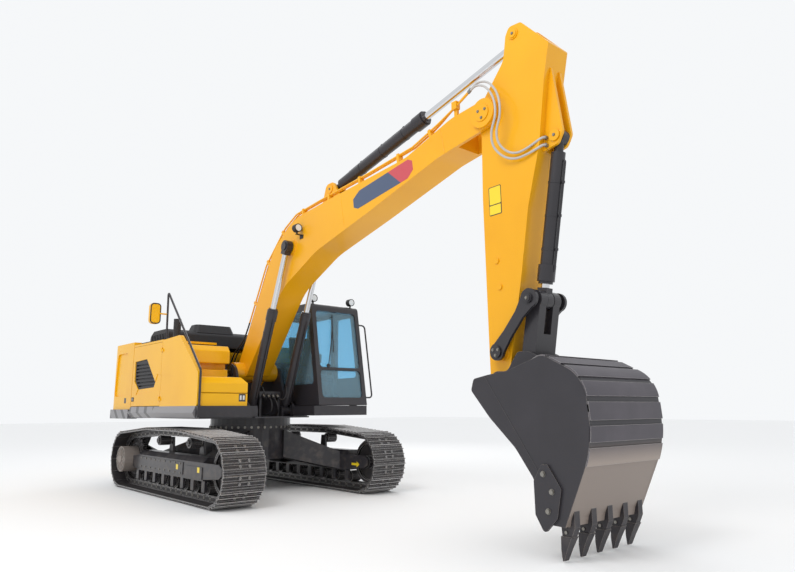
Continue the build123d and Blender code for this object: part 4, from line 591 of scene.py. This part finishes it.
# ---------------------------------------------------------------- bucket bolts
# Zinc-plated hexagon bolts that hold the side cutters on the bucket's cheeks, and the turned
# pins that are driven through the teeth to hold them on the lip's adapters.
bucket_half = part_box("bucket")[1].y
CUTTER_BOLTS = ((6.262, 0.70), (6.345, 0.56), (6.300, 0.40))
TOOTH_PIN, TOOTH_ROW, TOOTH_HALF = (6.42, 0.24), (-0.5, -0.25, 0, 0.25, 0.5), 0.042
cutter_bolts = []
for side in (-1, 1):
    for x, z in CUTTER_BOLTS:
        cutter_bolts.append(hex_head((x, side * bucket_half, z), (0, side, 0), 0.036, 0.016))
add_piece("cutter_bolts", cutter_bolts, zinc, "bucket_body")
tooth_pins = []
for y in TOOTH_ROW:
    for side in (-1, 1):
        place = (TOOTH_PIN[0], y + side * TOOTH_HALF, TOOTH_PIN[1])
        tooth_pins.append(disc(place, (0, side, 0), 0.014, 0.006, 12))
add_piece("tooth_pins", tooth_pins, zinc, "bucket_body")

# ---------------------------------------------------------------- track-frame bolts
# Zinc-plated hexagon bolts: a ring of twelve on each final-drive cover, and two rows along
# the covers on the outside of each track frame.
track_bolts = []
DRIVE_BOLTS, DRIVE_CIRCLE = 12, 0.172
COVER_BOLTS, COVER_START, COVER_STEP, COVER_ROWS = 9, -1.05, 0.19, (0.365, 0.495)
drive_x, drive_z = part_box("final_drives")[0].x + 0.225, 0.449
cover_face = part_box("final_drives")[1].y - 0.016
for side in (-1, 1):
    for step in range(DRIVE_BOLTS):
        turn = 2 * math.pi * (step + 0.5) / DRIVE_BOLTS
        x, z = drive_x + DRIVE_CIRCLE * math.cos(turn), drive_z + DRIVE_CIRCLE * math.sin(turn)
        track_bolts.append(hex_head((x, side * cover_face, z), (0, side, 0), 0.026, 0.012))
    for step in range(COVER_BOLTS):
        for z in COVER_ROWS:
            place = (COVER_START + step * COVER_STEP, side * TRACK_FRAME_SIDE, z)
            track_bolts.append(hex_head(place, (0, side, 0), 0.022, 0.008))
add_piece("track_frame_bolts", track_bolts, zinc, "undercarriage")

# ---------------------------------------------------------------- travel arrow
# Arrow that shows the way forward, cut from yellow film and pressed on the inside of the left
# track frame, at its front end. Corners are x and z in metres.
ARROW = (
    (1.36, 0.388), (1.49, 0.388), (1.49, 0.36), (1.56, 0.405),
    (1.49, 0.45), (1.49, 0.422), (1.36, 0.422),
)
ARROW_FACE = 1.040
arrow = prism([(x, ARROW_FACE, z) for x, z in ARROW], (0, -FILM, 0))
add_piece("travel_arrow", [arrow], sign_yellow, "undercarriage")

# ---------------------------------------------------------------- track bolts and link plates
# Every shoe is held on its two links by four hardened bolts whose heads lie between the grousers,
# and the links' forged cheeks show as flat ovals with a pin end in each joint.
AXLE_Z, CHAIN_RADIUS, HALF_SPAN, HALF_CREST, CREST = 0.449, 0.3685, 1.678, 0.62, 0.082
PLATE_OUT, SHOES, LINK_ROW, TRACK_Y = 0.0545, 48, 0.065, 1.19
BOLT_SHARE = 0.2  # of the pitch, from the shoe's middle to its bolts
CHEEK_OUT, CHEEK_HALF, CHEEK_THICK, CHEEK_GAP = 0.020, 0.030, 0.004, 0.004


def chain_frames():
    """Middle and heading of every shoe along the chain, from the flat bottom run round both wheels."""
    run, rise = HALF_SPAN - HALF_CREST, CHAIN_RADIUS + CREST
    leave = math.pi - math.atan2(rise, run) - math.acos(CHAIN_RADIUS / math.hypot(run, rise))
    slope = math.sqrt(run**2 + rise**2 - CHAIN_RADIUS**2)
    wrap = (leave + math.pi / 2) * CHAIN_RADIUS
    top = AXLE_Z + rise
    lift = HALF_SPAN + CHAIN_RADIUS * math.cos(leave), AXLE_Z + CHAIN_RADIUS * math.sin(leave)
    stretches = (
        (False, 2 * HALF_SPAN, -HALF_SPAN, AXLE_Z - CHAIN_RADIUS, 0.0),
        (True, wrap, HALF_SPAN, AXLE_Z, 0.0),
        (False, slope, *lift, leave + math.pi / 2),
        (False, 2 * HALF_CREST, HALF_CREST, top, math.pi),
        (False, slope, -HALF_CREST, top, 1.5 * math.pi - leave),
        (True, wrap, -HALF_SPAN, AXLE_Z, 1.5 * math.pi - leave),
    )
    pitch = sum(stretch[1] for stretch in stretches) / SHOES
    frames = []
    for half_step in range(2 * SHOES):
        distance = half_step * pitch / 2
        for bent, length, x, z, turn in stretches:
            if distance <= length:
                break
            distance -= length
        if bent:
            turn += distance / CHAIN_RADIUS
            frames.append((x + CHAIN_RADIUS * math.sin(turn), z - CHAIN_RADIUS * math.cos(turn), turn))
        else:
            frames.append((x + distance * math.cos(turn), z + distance * math.sin(turn), turn))
    return frames, pitch


frames, shoe_pitch = chain_frames()
reach = shoe_pitch / 2 - CHEEK_GAP
OVAL = [(-1.0, 0), (-0.7, 1), (0.7, 1), (1.0, 0), (0.7, -1), (-0.7, -1)]
for side, tag in SIDES:
    heads, cheeks, pin_ends = [], [], []
    for number, (x, z, turn) in enumerate(frames):
        ahead = Vector((math.cos(turn), 0, math.sin(turn)))
        out = Vector((math.sin(turn), 0, -math.cos(turn)))
        middle = Vector((x, side * TRACK_Y, z))
        if number % 2:
            for share in (-BOLT_SHARE, BOLT_SHARE):
                for row in (-LINK_ROW, LINK_ROW):
                    along = ahead * share * shoe_pitch
                    place = middle + along + out * PLATE_OUT + Vector((0, row, 0))
                    heads.append(hex_head(place, out, 0.026, 0.014))
        for row in (-1, 1):
            face = middle + Vector((0, row * (LINK_ROW + CHEEK_OUT), 0))
            if number % 2 == 0:
                pin_ends.append(disc(face, (0, row, 0), 0.021, 0.0075, 12))
            else:
                oval = [face + ahead * reach * along + out * CHEEK_HALF * up for along, up in OVAL]
                cheeks.append(prism(oval, (0, row * CHEEK_THICK, 0)))
    add_piece(f"shoe_bolts_{tag}", heads, track_steel, "undercarriage")
    add_piece(f"link_cheeks_{tag}", cheeks, track_steel, "undercarriage")
    add_piece(f"link_pins_{tag}", pin_ends, zinc, "undercarriage")

# ---------------------------------------------------------------- ring bolts
# Forty hexagon nuts on studs round the outer race of the slewing ring, zinc-plated,
# seated a millimetre into the race.
RING_NUTS, NUT_HEIGHT, NUT_SEAT = 40, 0.035, 0.001
ring_low, ring_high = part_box("slewing_ring")
ring_nuts = []
for step in range(RING_NUTS):
    turn = 2 * math.pi * step / RING_NUTS
    outward = Vector((math.cos(turn), math.sin(turn), 0))
    place = outward * (ring_high.x - NUT_SEAT) + Vector((0, 0, ring_low.z + NUT_HEIGHT))
    ring_nuts.append(hex_head(place, outward, 0.028, 0.014))
add_piece("ring_nuts", ring_nuts, zinc, "undercarriage")

# ---------------------------------------------------------------- extra wear strips
# Narrower strips of the same manganese steel, cut from plate and bent to the shell, then welded
# to it in the gaps between the wide ones.
BUCKET_CENTRE, BESIDE_STRIP = Vector((6.10, 0.0, 1.10)), Vector((0, 0.31, 0))
WIDEST_STRIP_GAP, MARGIN_SHARE, STEPS = 0.12, 0.20, 5  # radians, share of a gap, count
SUNK, PROUD = -0.004, 0.010


def shell_point(angle, lift, y):
    """Point over the shell's outside, at an angle round the bucket's middle in its side view."""
    outward = Vector((math.cos(angle), 0.0, math.sin(angle)))
    start = BUCKET_CENTRE + BESIDE_STRIP + outward * 2.0
    _, place, _, _ = nodes["bucket"].ray_cast(start, -outward)
    point = place + outward * lift
    return Vector((point.x, y, point.z))


corners = [v.co - BUCKET_CENTRE for v in nodes["wear_strips"].data.vertices]
angles = sorted(math.atan2(corner.z, corner.x) for corner in corners)
gaps = [(a, b) for a, b in zip(angles, angles[1:]) if b - a > WIDEST_STRIP_GAP]
strip_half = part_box("wear_strips")[1].y
extra = []
for start, end in gaps:
    margin = MARGIN_SHARE * (end - start)
    turns = [start + margin + (end - start - 2 * margin) * step / STEPS for step in range(STEPS + 1)]
    line = [shell_point(angle, SUNK, -strip_half) for angle in turns]
    line += [shell_point(angle, PROUD, -strip_half) for angle in reversed(turns)]
    extra.append(prism(line, (0, 2 * strip_half, 0)))
add_piece("extra_wear_strips", extra, strip_steel, "bucket_body")

# ---------------------------------------------------------------- hoses
# Wire-braided rubber hoses: the pair from the boom to the stick wears a pale plastic sleeve
# and ends in pressed steel ferrules, zinc-plated.


ROUNDNESS, SMOOTHNESS, HOSE_RADIUS = 4, 10, 0.0125


def tube(name, route, radius, material, body=None, straight=False, closed=False):
    """Round bar, pipe or hose along a route of points; it rides on a body if one is named."""
    line = bpy.data.curves.new(name, "CURVE")
    line.dimensions = "3D"
    line.bevel_depth, line.bevel_resolution, line.resolution_u = radius, ROUNDNESS, SMOOTHNESS
    line.use_fill_caps = not closed
    spline = line.splines.new("POLY" if straight else "NURBS")
    spline.points.add(len(route) - 1)
    for point, place in zip(spline.points, route):
        point.co = (*place, 1.0)
    spline.use_cyclic_u = closed
    if not straight:
        spline.order_u = 3
        spline.use_endpoint_u = not closed
    line.materials.append(material)
    bent = bpy.data.objects.new(name + "_route", line)
    piece = bpy.data.objects.new(name, bpy.data.meshes.new_from_object(bent))
    bpy.data.objects.remove(bent)
    bpy.context.collection.objects.link(piece)
    if body:
        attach(piece, body)
    return piece


rubber = moulding("black_hose_rubber", "#1d1c1f", 0.5, 1.0)
sleeve = moulding("pale_hose_sleeve", "#b9b6b3", 0.45, 3.0)
STICK_HOSES = {
    "outer": (
        (5.165, -0.215, 4.744), (5.230, -0.218, 4.776), (5.320, -0.235, 4.775), (5.480, -0.275, 4.680),
        (5.620, -0.315, 4.480), (5.650, -0.330, 4.270), (5.560, -0.320, 4.110), (5.555, -0.285, 3.955),
        (5.645, -0.235, 3.830), (5.782, -0.205, 3.770), (5.945, -0.195, 3.785), (6.050, -0.175, 3.820),
        (6.100, -0.145, 3.850), (6.100, -0.112, 3.850),
    ),
    "inner": (
        (5.135, -0.182, 4.778), (5.210, -0.186, 4.815), (5.330, -0.205, 4.825), (5.520, -0.255, 4.720),
        (5.670, -0.300, 4.500), (5.700, -0.315, 4.270), (5.620, -0.305, 4.110), (5.615, -0.270, 3.980),
        (5.690, -0.225, 3.875), (5.800, -0.200, 3.830), (5.930, -0.190, 3.850), (6.040, -0.170, 3.900),
        (6.100, -0.145, 3.930), (6.100, -0.112, 3.930),
    ),
}
PORT_FACE = -0.088
for name, route in STICK_HOSES.items():
    hose = tube(f"stick_hose_{name}", route, HOSE_RADIUS, sleeve)
    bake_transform(hose)
    first = Vector(route[0])
    ferrule = [route[0], first + (Vector(route[1]) - first) * 0.6]
    tube(f"stick_hose_{name}_collar", ferrule, 0.0175, zinc, "boom_arm", straight=True)
    port = disc((route[-1][0], PORT_FACE, route[-1][2]), (0, -1, 0), 0.021, 0.034, 16)
    add_piece(f"stick_hose_{name}_port", [port], zinc, "stick_arm")

# ---------------------------------------------------------------- pipe ends
# Rigid ends of the boom's pipes, bent from steel tube and painted with it, that carry the pair up
# from the boom's back to its ferrules. One post of welded plate with a clamp block holds them.
PIPE_ENDS = {
    "outer": (
        (4.54, -0.192, 4.519), (4.66, -0.193, 4.556), (4.80, -0.205, 4.600),
        (5.05, -0.215, 4.686), (5.175, -0.215, 4.749),
    ),
    "inner": (
        (4.54, -0.152, 4.519), (4.66, -0.156, 4.562), (4.80, -0.172, 4.622),
        (5.02, -0.182, 4.722), (5.145, -0.182, 4.783),
    ),
}
for name, route in PIPE_ENDS.items():
    tube(f"pipe_end_{name}", route, HOSE_RADIUS, amber, "boom_arm")


def brick(low, high):
    """Points and faces of a block between two corners."""
    a, b = Vector(low), Vector(high)
    return prism([(a.x, a.y, a.z), (b.x, a.y, a.z), (b.x, b.y, a.z), (a.x, b.y, a.z)], (0, 0, b.z - a.z))


stem = brick((4.930, -0.208, 4.500), (4.975, -0.174, 4.640))
clamp = brick((4.915, -0.236, 4.622), (4.990, -0.171, 4.716))
add_piece("pipe_post", [stem, clamp], amber, "boom_arm")

# ---------------------------------------------------------------- foot hoses
# Two wire-braided hoses under smooth black rubber that take over from the boom's pipes behind
# its foot and drop in a slack bend to the control valve.
FOOT_HOSES = {
    "outer": (
        (0.204, -0.192, 2.648), (0.150, -0.192, 2.552), (0.02, -0.205, 2.33), (-0.20, -0.215, 2.22),
        (-0.40, -0.205, 2.02), (-0.47, -0.185, 1.80), (-0.40, -0.16, 1.60), (-0.425, -0.16, 1.58),
    ),
    "inner": (
        (0.204, -0.152, 2.648), (0.150, -0.152, 2.552), (0.03, -0.145, 2.36), (-0.18, -0.130, 2.28),
        (-0.42, -0.115, 2.10), (-0.52, -0.100, 1.86), (-0.52, -0.09, 1.70), (-0.52, -0.09, 1.69),
    ),
}
for name, route in FOOT_HOSES.items():
    hose = tube(f"foot_hose_{name}", route, HOSE_RADIUS, rubber)
    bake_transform(hose)

# ---------------------------------------------------------------- hoses at the block
# Black rubber hoses from the block between the boom cylinders: the outer two feed the cylinders,
# the inner two dive to the deck. Each starts in a pressed collar, zinc-plated.
FEED_Y, DECK_Y, BLOCK_HOSE_RADIUS = 0.120, 0.040, 0.012
for side, tag in SIDES:
    y = side * FEED_Y
    route = (
        (0.640, y, 1.436), (0.700, y * 1.05, 1.388), (0.760, y * 1.35, 1.40),
        (0.770, side * 0.20, 1.50), (0.720, side * 0.22, 1.60), (0.676, side * 0.236, 1.60),
    )
    hose = tube(f"cylinder_hose_{tag}", route, BLOCK_HOSE_RADIUS, rubber)
    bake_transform(hose)
for side, tag in SIDES:
    y = side * DECK_Y
    route = (
        (0.640, y, 1.436), (0.715, y, 1.376), (0.760, y * 1.3, 1.29),
        (0.740, y * 1.6, 1.20), (0.660, y * 1.8, 1.165), (0.560, y * 2, 1.160),
    )
    tube(f"deck_hose_{tag}", route, BLOCK_HOSE_RADIUS, rubber, "upper")
for number, y in ((80, -FEED_Y), (160, -DECK_Y), (240, DECK_Y), (320, FEED_Y)):
    collar = [(0.612, y, 1.4584), (0.650, y, 1.4280)]
    tube(f"block_collar_{number}", collar, 0.0215, zinc, "upper", straight=True)

# ---------------------------------------------------------------- cylinder pipes
# Steel feed pipes, bent from drawn tube, that run along the barrels to their mouths. Pressed
# straps hold them, and all are sprayed charcoal with the barrel.


def on_barrel(base, eye, ahead, up, y):
    """Point beside a cylinder: distance from its base pin towards its eye, and across, in metres."""
    way = (Vector(eye) - Vector(base)).normalized()
    return Vector(
        (base[0] + way.x * ahead - way.y * up, y, base[1] + way.y * ahead + way.x * up)
    )


def band(centre, axis, inner, outer, thick, sides=28):
    """Points and faces of a flat ring that stands on its centre along the axis."""
    shift = axis * thick
    places = (centre, centre + shift)
    rims = [circle(place, axis, size, sides) for place in places for size in (inner, outer)]
    faces = []
    for start, end in ((0, 1), (1, 3), (3, 2), (2, 0)):
        for i in range(sides):
            j = (i + 1) % sides
            faces.append((start * sides + i, start * sides + j, end * sides + j, end * sides + i))
    return sum(rims, []), faces


# base, eye, planes, barrel radius, side of the pipe, start and end of the pipe
BARRELS = {
    "boom": ((0.530, 1.225), (1.480, 3.660), (-0.298, 0.298), 0.070, -1, 0.22, 1.52),
    "stick": ((2.290, 4.400), (5.790, 5.200), (0.0,), 0.082, 1, 0.36, 1.90),
    "bucket": ((6.196, 3.932), (5.906, 2.301), (0.0,), 0.072, 1, 0.24, 1.37),
}
PIPE_OUT, PIPE_BEND, PIPE_RADIUS = 0.022, 0.05, 0.011
STRAP_PLACES, STRAP_HALF, CLIP_RADIUS = (0.2, 0.5, 0.8), 0.012, 0.017
for name, (base, eye, planes, radius, up, start, end) in BARRELS.items():
    body = {"boom": "boom_barrels"}.get(name, f"{name}_barrel")
    way = (Vector(eye) - Vector(base)).normalized()
    axis = Vector((way.x, 0.0, way.y))
    out = up * (radius + PIPE_OUT)
    first_bend, last_bend = start + PIPE_BEND, end - PIPE_BEND
    stops = (
        (start, 0.6), (start, 0.95), (first_bend, 1.0), (last_bend, 1.0), (end, 0.95), (end, 0.6),
    )
    for number, y in enumerate(planes):
        route = [on_barrel(base, eye, ahead, out * share, y) for ahead, share in stops]
        tube(f"{name}_barrel_pipe_{number}", route, PIPE_RADIUS, charcoal, body)
        straps = []
        for share in STRAP_PLACES:
            along = start + (end - start) * share
            centre = on_barrel(base, eye, along, 0.0, y) - axis * STRAP_HALF
            straps.append(band(centre, axis, radius - 0.003, radius + 0.004, 2 * STRAP_HALF))
            clip = on_barrel(base, eye, along, out, y) - axis * STRAP_HALF
            straps.append(disc(clip, axis, CLIP_RADIUS, 2 * STRAP_HALF, 12))
        add_piece(f"{name}_barrel_straps_{number}", straps, charcoal, body)

# ---------------------------------------------------------------- weld beads
# Beads laid by arc welding and left visible under the paint: round the bosses, across the boom's
# sides where its plates join, and along the bucket's side plates.
BOOM_SEAMS = (((4.70, 4.480), (4.765, 4.160)), ((2.715, 4.180), (2.820, 3.665)))  # ends, x and z
BUCKET_SEAM, BUCKET_SEAM_SIDE = ((5.62, 1.545), (6.38, 0.46)), 0.590


def ring(name, x, z, y, radius, thick, body):
    """Painted bead round a boss in a plane beside the machine."""
    route = circle((x, y, z), (0, 1, 0), radius, 40)
    tube(name, route, thick, amber, body, straight=True, closed=True)


for side, tag in SIDES:
    ring(f"stick_pin_bead_{tag}", 5.385, 4.415, side * BOOM_SIDE, 0.166, 0.007, "boom_arm")
    ring(f"cylinder_boss_bead_{tag}", 1.480, 3.660, side * BOOM_SIDE, 0.116, 0.006, "boom_arm")
    ring(f"rocker_boss_bead_{tag}", 5.485, 1.808, side * STICK_SIDE, 0.086, 0.005, "stick_arm")
    for number, ends in enumerate(BOOM_SEAMS):
        bead = [(x, side * BOOM_SIDE, z) for x, z in ends]
        tube(f"boom_seam_{number}_{tag}", bead, 0.0045, amber, "boom_arm", straight=True)
    seam = [(x, side * BUCKET_SEAM_SIDE, z) for x, z in BUCKET_SEAM]
    tube(f"bucket_seam_{tag}", seam, 0.004, bucket_steel, "bucket_body", straight=True)

# ---------------------------------------------------------------- lamps
# Round lenses of moulded clear polycarbonate in front of the lamps on the cab's roof
# and on the boom.
lens = plain("clear_lamp_lens", "#dfe6ea", 0.08, coat=0.6)
FORWARD, LENS_RADIUS, LENS_THICK = (1, 0, 0), 0.050, 0.007


def lens_at(x, y, z):
    """Points and faces of one lens that faces forward."""
    return disc((x, y, z), FORWARD, LENS_RADIUS, LENS_THICK, 24)


add_piece("roof_lamp_lenses", [lens_at(0.914, y, 3.040) for y in (0.580, 1.338)], lens, "upper")
add_piece("boom_lamp_lens", [lens_at(1.779, -0.295, 3.892)], lens, "boom_arm")

# ---------------------------------------------------------------- mirror
# Mirror of silvered glass, which faces the tail, with a black rubber rim pressed round
# the front and the rear edge of its housing.
MIRROR_RIMS, RIM_RADIUS = (("front", -0.369), ("rear", -0.431)), 0.009


def rounded_plate(x, y, z, width, height, thick, corner):
    """Plate square to the machine's length, with rounded corners."""
    flat = [(y + width / 2 * i, z + height / 2 * k) for i, k in SQUARE]
    return prism([(x, p.x, p.y) for p in rounded_outline(flat, corner)], (thick, 0, 0))


glass = rounded_plate(-0.427, -1.530, 2.740, 0.130, 0.290, 0.003, 0.045)
add_piece("mirror_glass", [glass], chrome, "upper")
edge = ((-1.606, 2.584), (-1.454, 2.584), (-1.454, 2.896), (-1.606, 2.896))
for face, x in MIRROR_RIMS:
    rim = [(x, p.x, p.y) for p in rounded_outline(edge, 0.05, 8)]
    tube(f"mirror_rim_{face}", rim, RIM_RADIUS, rubber, "upper", straight=True, closed=True)

# ---------------------------------------------------------------- wiper and door handle
# Wiper of bent steel strip with a rubber blade on its motor's stub, the door's bent grab handle,
# both powder-coated black, and the zinc-plated lock under the handle.
FRONT_X, FRONT_Z, LEAN = 1.250, 1.306, 0.285 / 1.644


def on_front(y, z, off):
    """Point ahead of the cab's leaning front."""
    return (FRONT_X - LEAN * (z - FRONT_Z) + off, y, z)


arm = [on_front(0.72, 1.93, 0.014), on_front(0.80, 2.28, 0.016), on_front(0.86, 2.52, 0.012)]
tube("wiper_arm", arm, 0.007, black, "upper", straight=True)
blade = [on_front(0.845, 2.16, 0.006), on_front(0.875, 2.78, 0.006)]
tube("wiper_blade", blade, 0.008, rubber, "upper", straight=True)
motor = disc(on_front(0.72, 1.93, 0.0), (1, 0, 0.17), 0.030, 0.018, 16)
add_piece("wiper_motor", [motor], black, "upper")
handle = [(0.99, 1.430, 1.66), (0.99, 1.462, 1.66), (0.97, 1.466, 1.78), (0.97, 1.430, 1.79)]
tube("door_handle", handle, 0.009, black, "driver_door")
lock = disc((1.00, 1.427, 1.60), (0, 1, 0), 0.022, 0.006, 16)
add_piece("door_lock", [lock], zinc, "driver_door")

# ---------------------------------------------------------------- levers and pedals
# Two joystick levers with moulded grips and rubber boots on the consoles, and two travel levers
# of bent rod with rubber-faced pedals ahead of the seat.
CAB_MIDDLE, LEVER_OUT, PEDAL_OUT = 0.959, 0.31, 0.10
for side, tag in SIDES:
    y = CAB_MIDDLE + side * LEVER_OUT
    stem = [(0.47, y, 1.94), (0.50, y, 2.03), (0.50, y - side * 0.01, 2.08)]
    tube(f"lever_{tag}", stem, 0.010, black, "upper")
    grip = disc((0.50, y - side * 0.01, 2.07), (0.1, -side * 0.1, 1), 0.026, 0.12, 14)
    add_piece(f"lever_grip_{tag}", [grip], rubber, "upper")
    boot = disc((0.46, y, 1.93), (0, 0, 1), 0.045, 0.03, 18)
    add_piece(f"lever_boot_{tag}", [boot], rubber, "upper")
    low, high = CAB_MIDDLE + side * 0.07, CAB_MIDDLE + side * 0.08
    travel = [(0.88, low, 1.38), (0.86, low, 1.80), (0.82, high, 1.90)]
    tube(f"travel_lever_{tag}", travel, 0.011, black, "upper")
    pedal = rounded_plate(0.90, CAB_MIDDLE + side * PEDAL_OUT, 1.42, 0.10, 0.10, 0.012, 0.02)
    add_piece(f"pedal_{tag}", [pedal], rubber, "upper")

# ---------------------------------------------------------------- display
# Display in a moulded black case with a dark glass front, blank, on a bent tube stalk
# beside the front window.
screen = plain("dark_display_glass", "#1b2430", 0.1, coat=0.8)
case = rounded_plate(0.86, 0.66, 2.06, 0.20, 0.15, 0.030, 0.015)
add_piece("display_case", [case], black, "upper")
front = rounded_plate(0.857, 0.66, 2.06, 0.175, 0.120, 0.003, 0.008)
add_piece("display_screen", [front], screen, "upper")
stalk = [(0.88, 0.66, 2.00), (0.86, 0.64, 1.80), (0.80, 0.62, 1.40)]
tube("display_stalk", stalk, 0.012, black, "upper")

# ---------------------------------------------------------------- latches
# Flush paddle latches on the side doors: paddles pressed from zinc-plated strip
# in moulded black cups.
CUP_SIZE, PADDLE_SIZE, LATCH_THICK, LATCH_HEIGHT = (0.110, 0.070), (0.085, 0.040), 0.003, 1.42


def latch(name, x, side, body):
    """Flush latch on a side face of the housings."""
    middle, y = (x, LATCH_HEIGHT), side * HOUSE_SIDE
    side_plate(f"{name}_cup", middle, CUP_SIZE, y, side, black, body, thick=LATCH_THICK)
    over = y + side * LATCH_THICK
    side_plate(f"{name}_paddle", middle, PADDLE_SIZE, over, side, zinc, body, thick=LATCH_THICK)


latch("right_door_latch", -1.60, -1, "right_side_door")
latch("left_front_latch", -0.53, 1, "left_side_door_front")
latch("left_rear_latch", -1.25, 1, "left_side_door_rear")
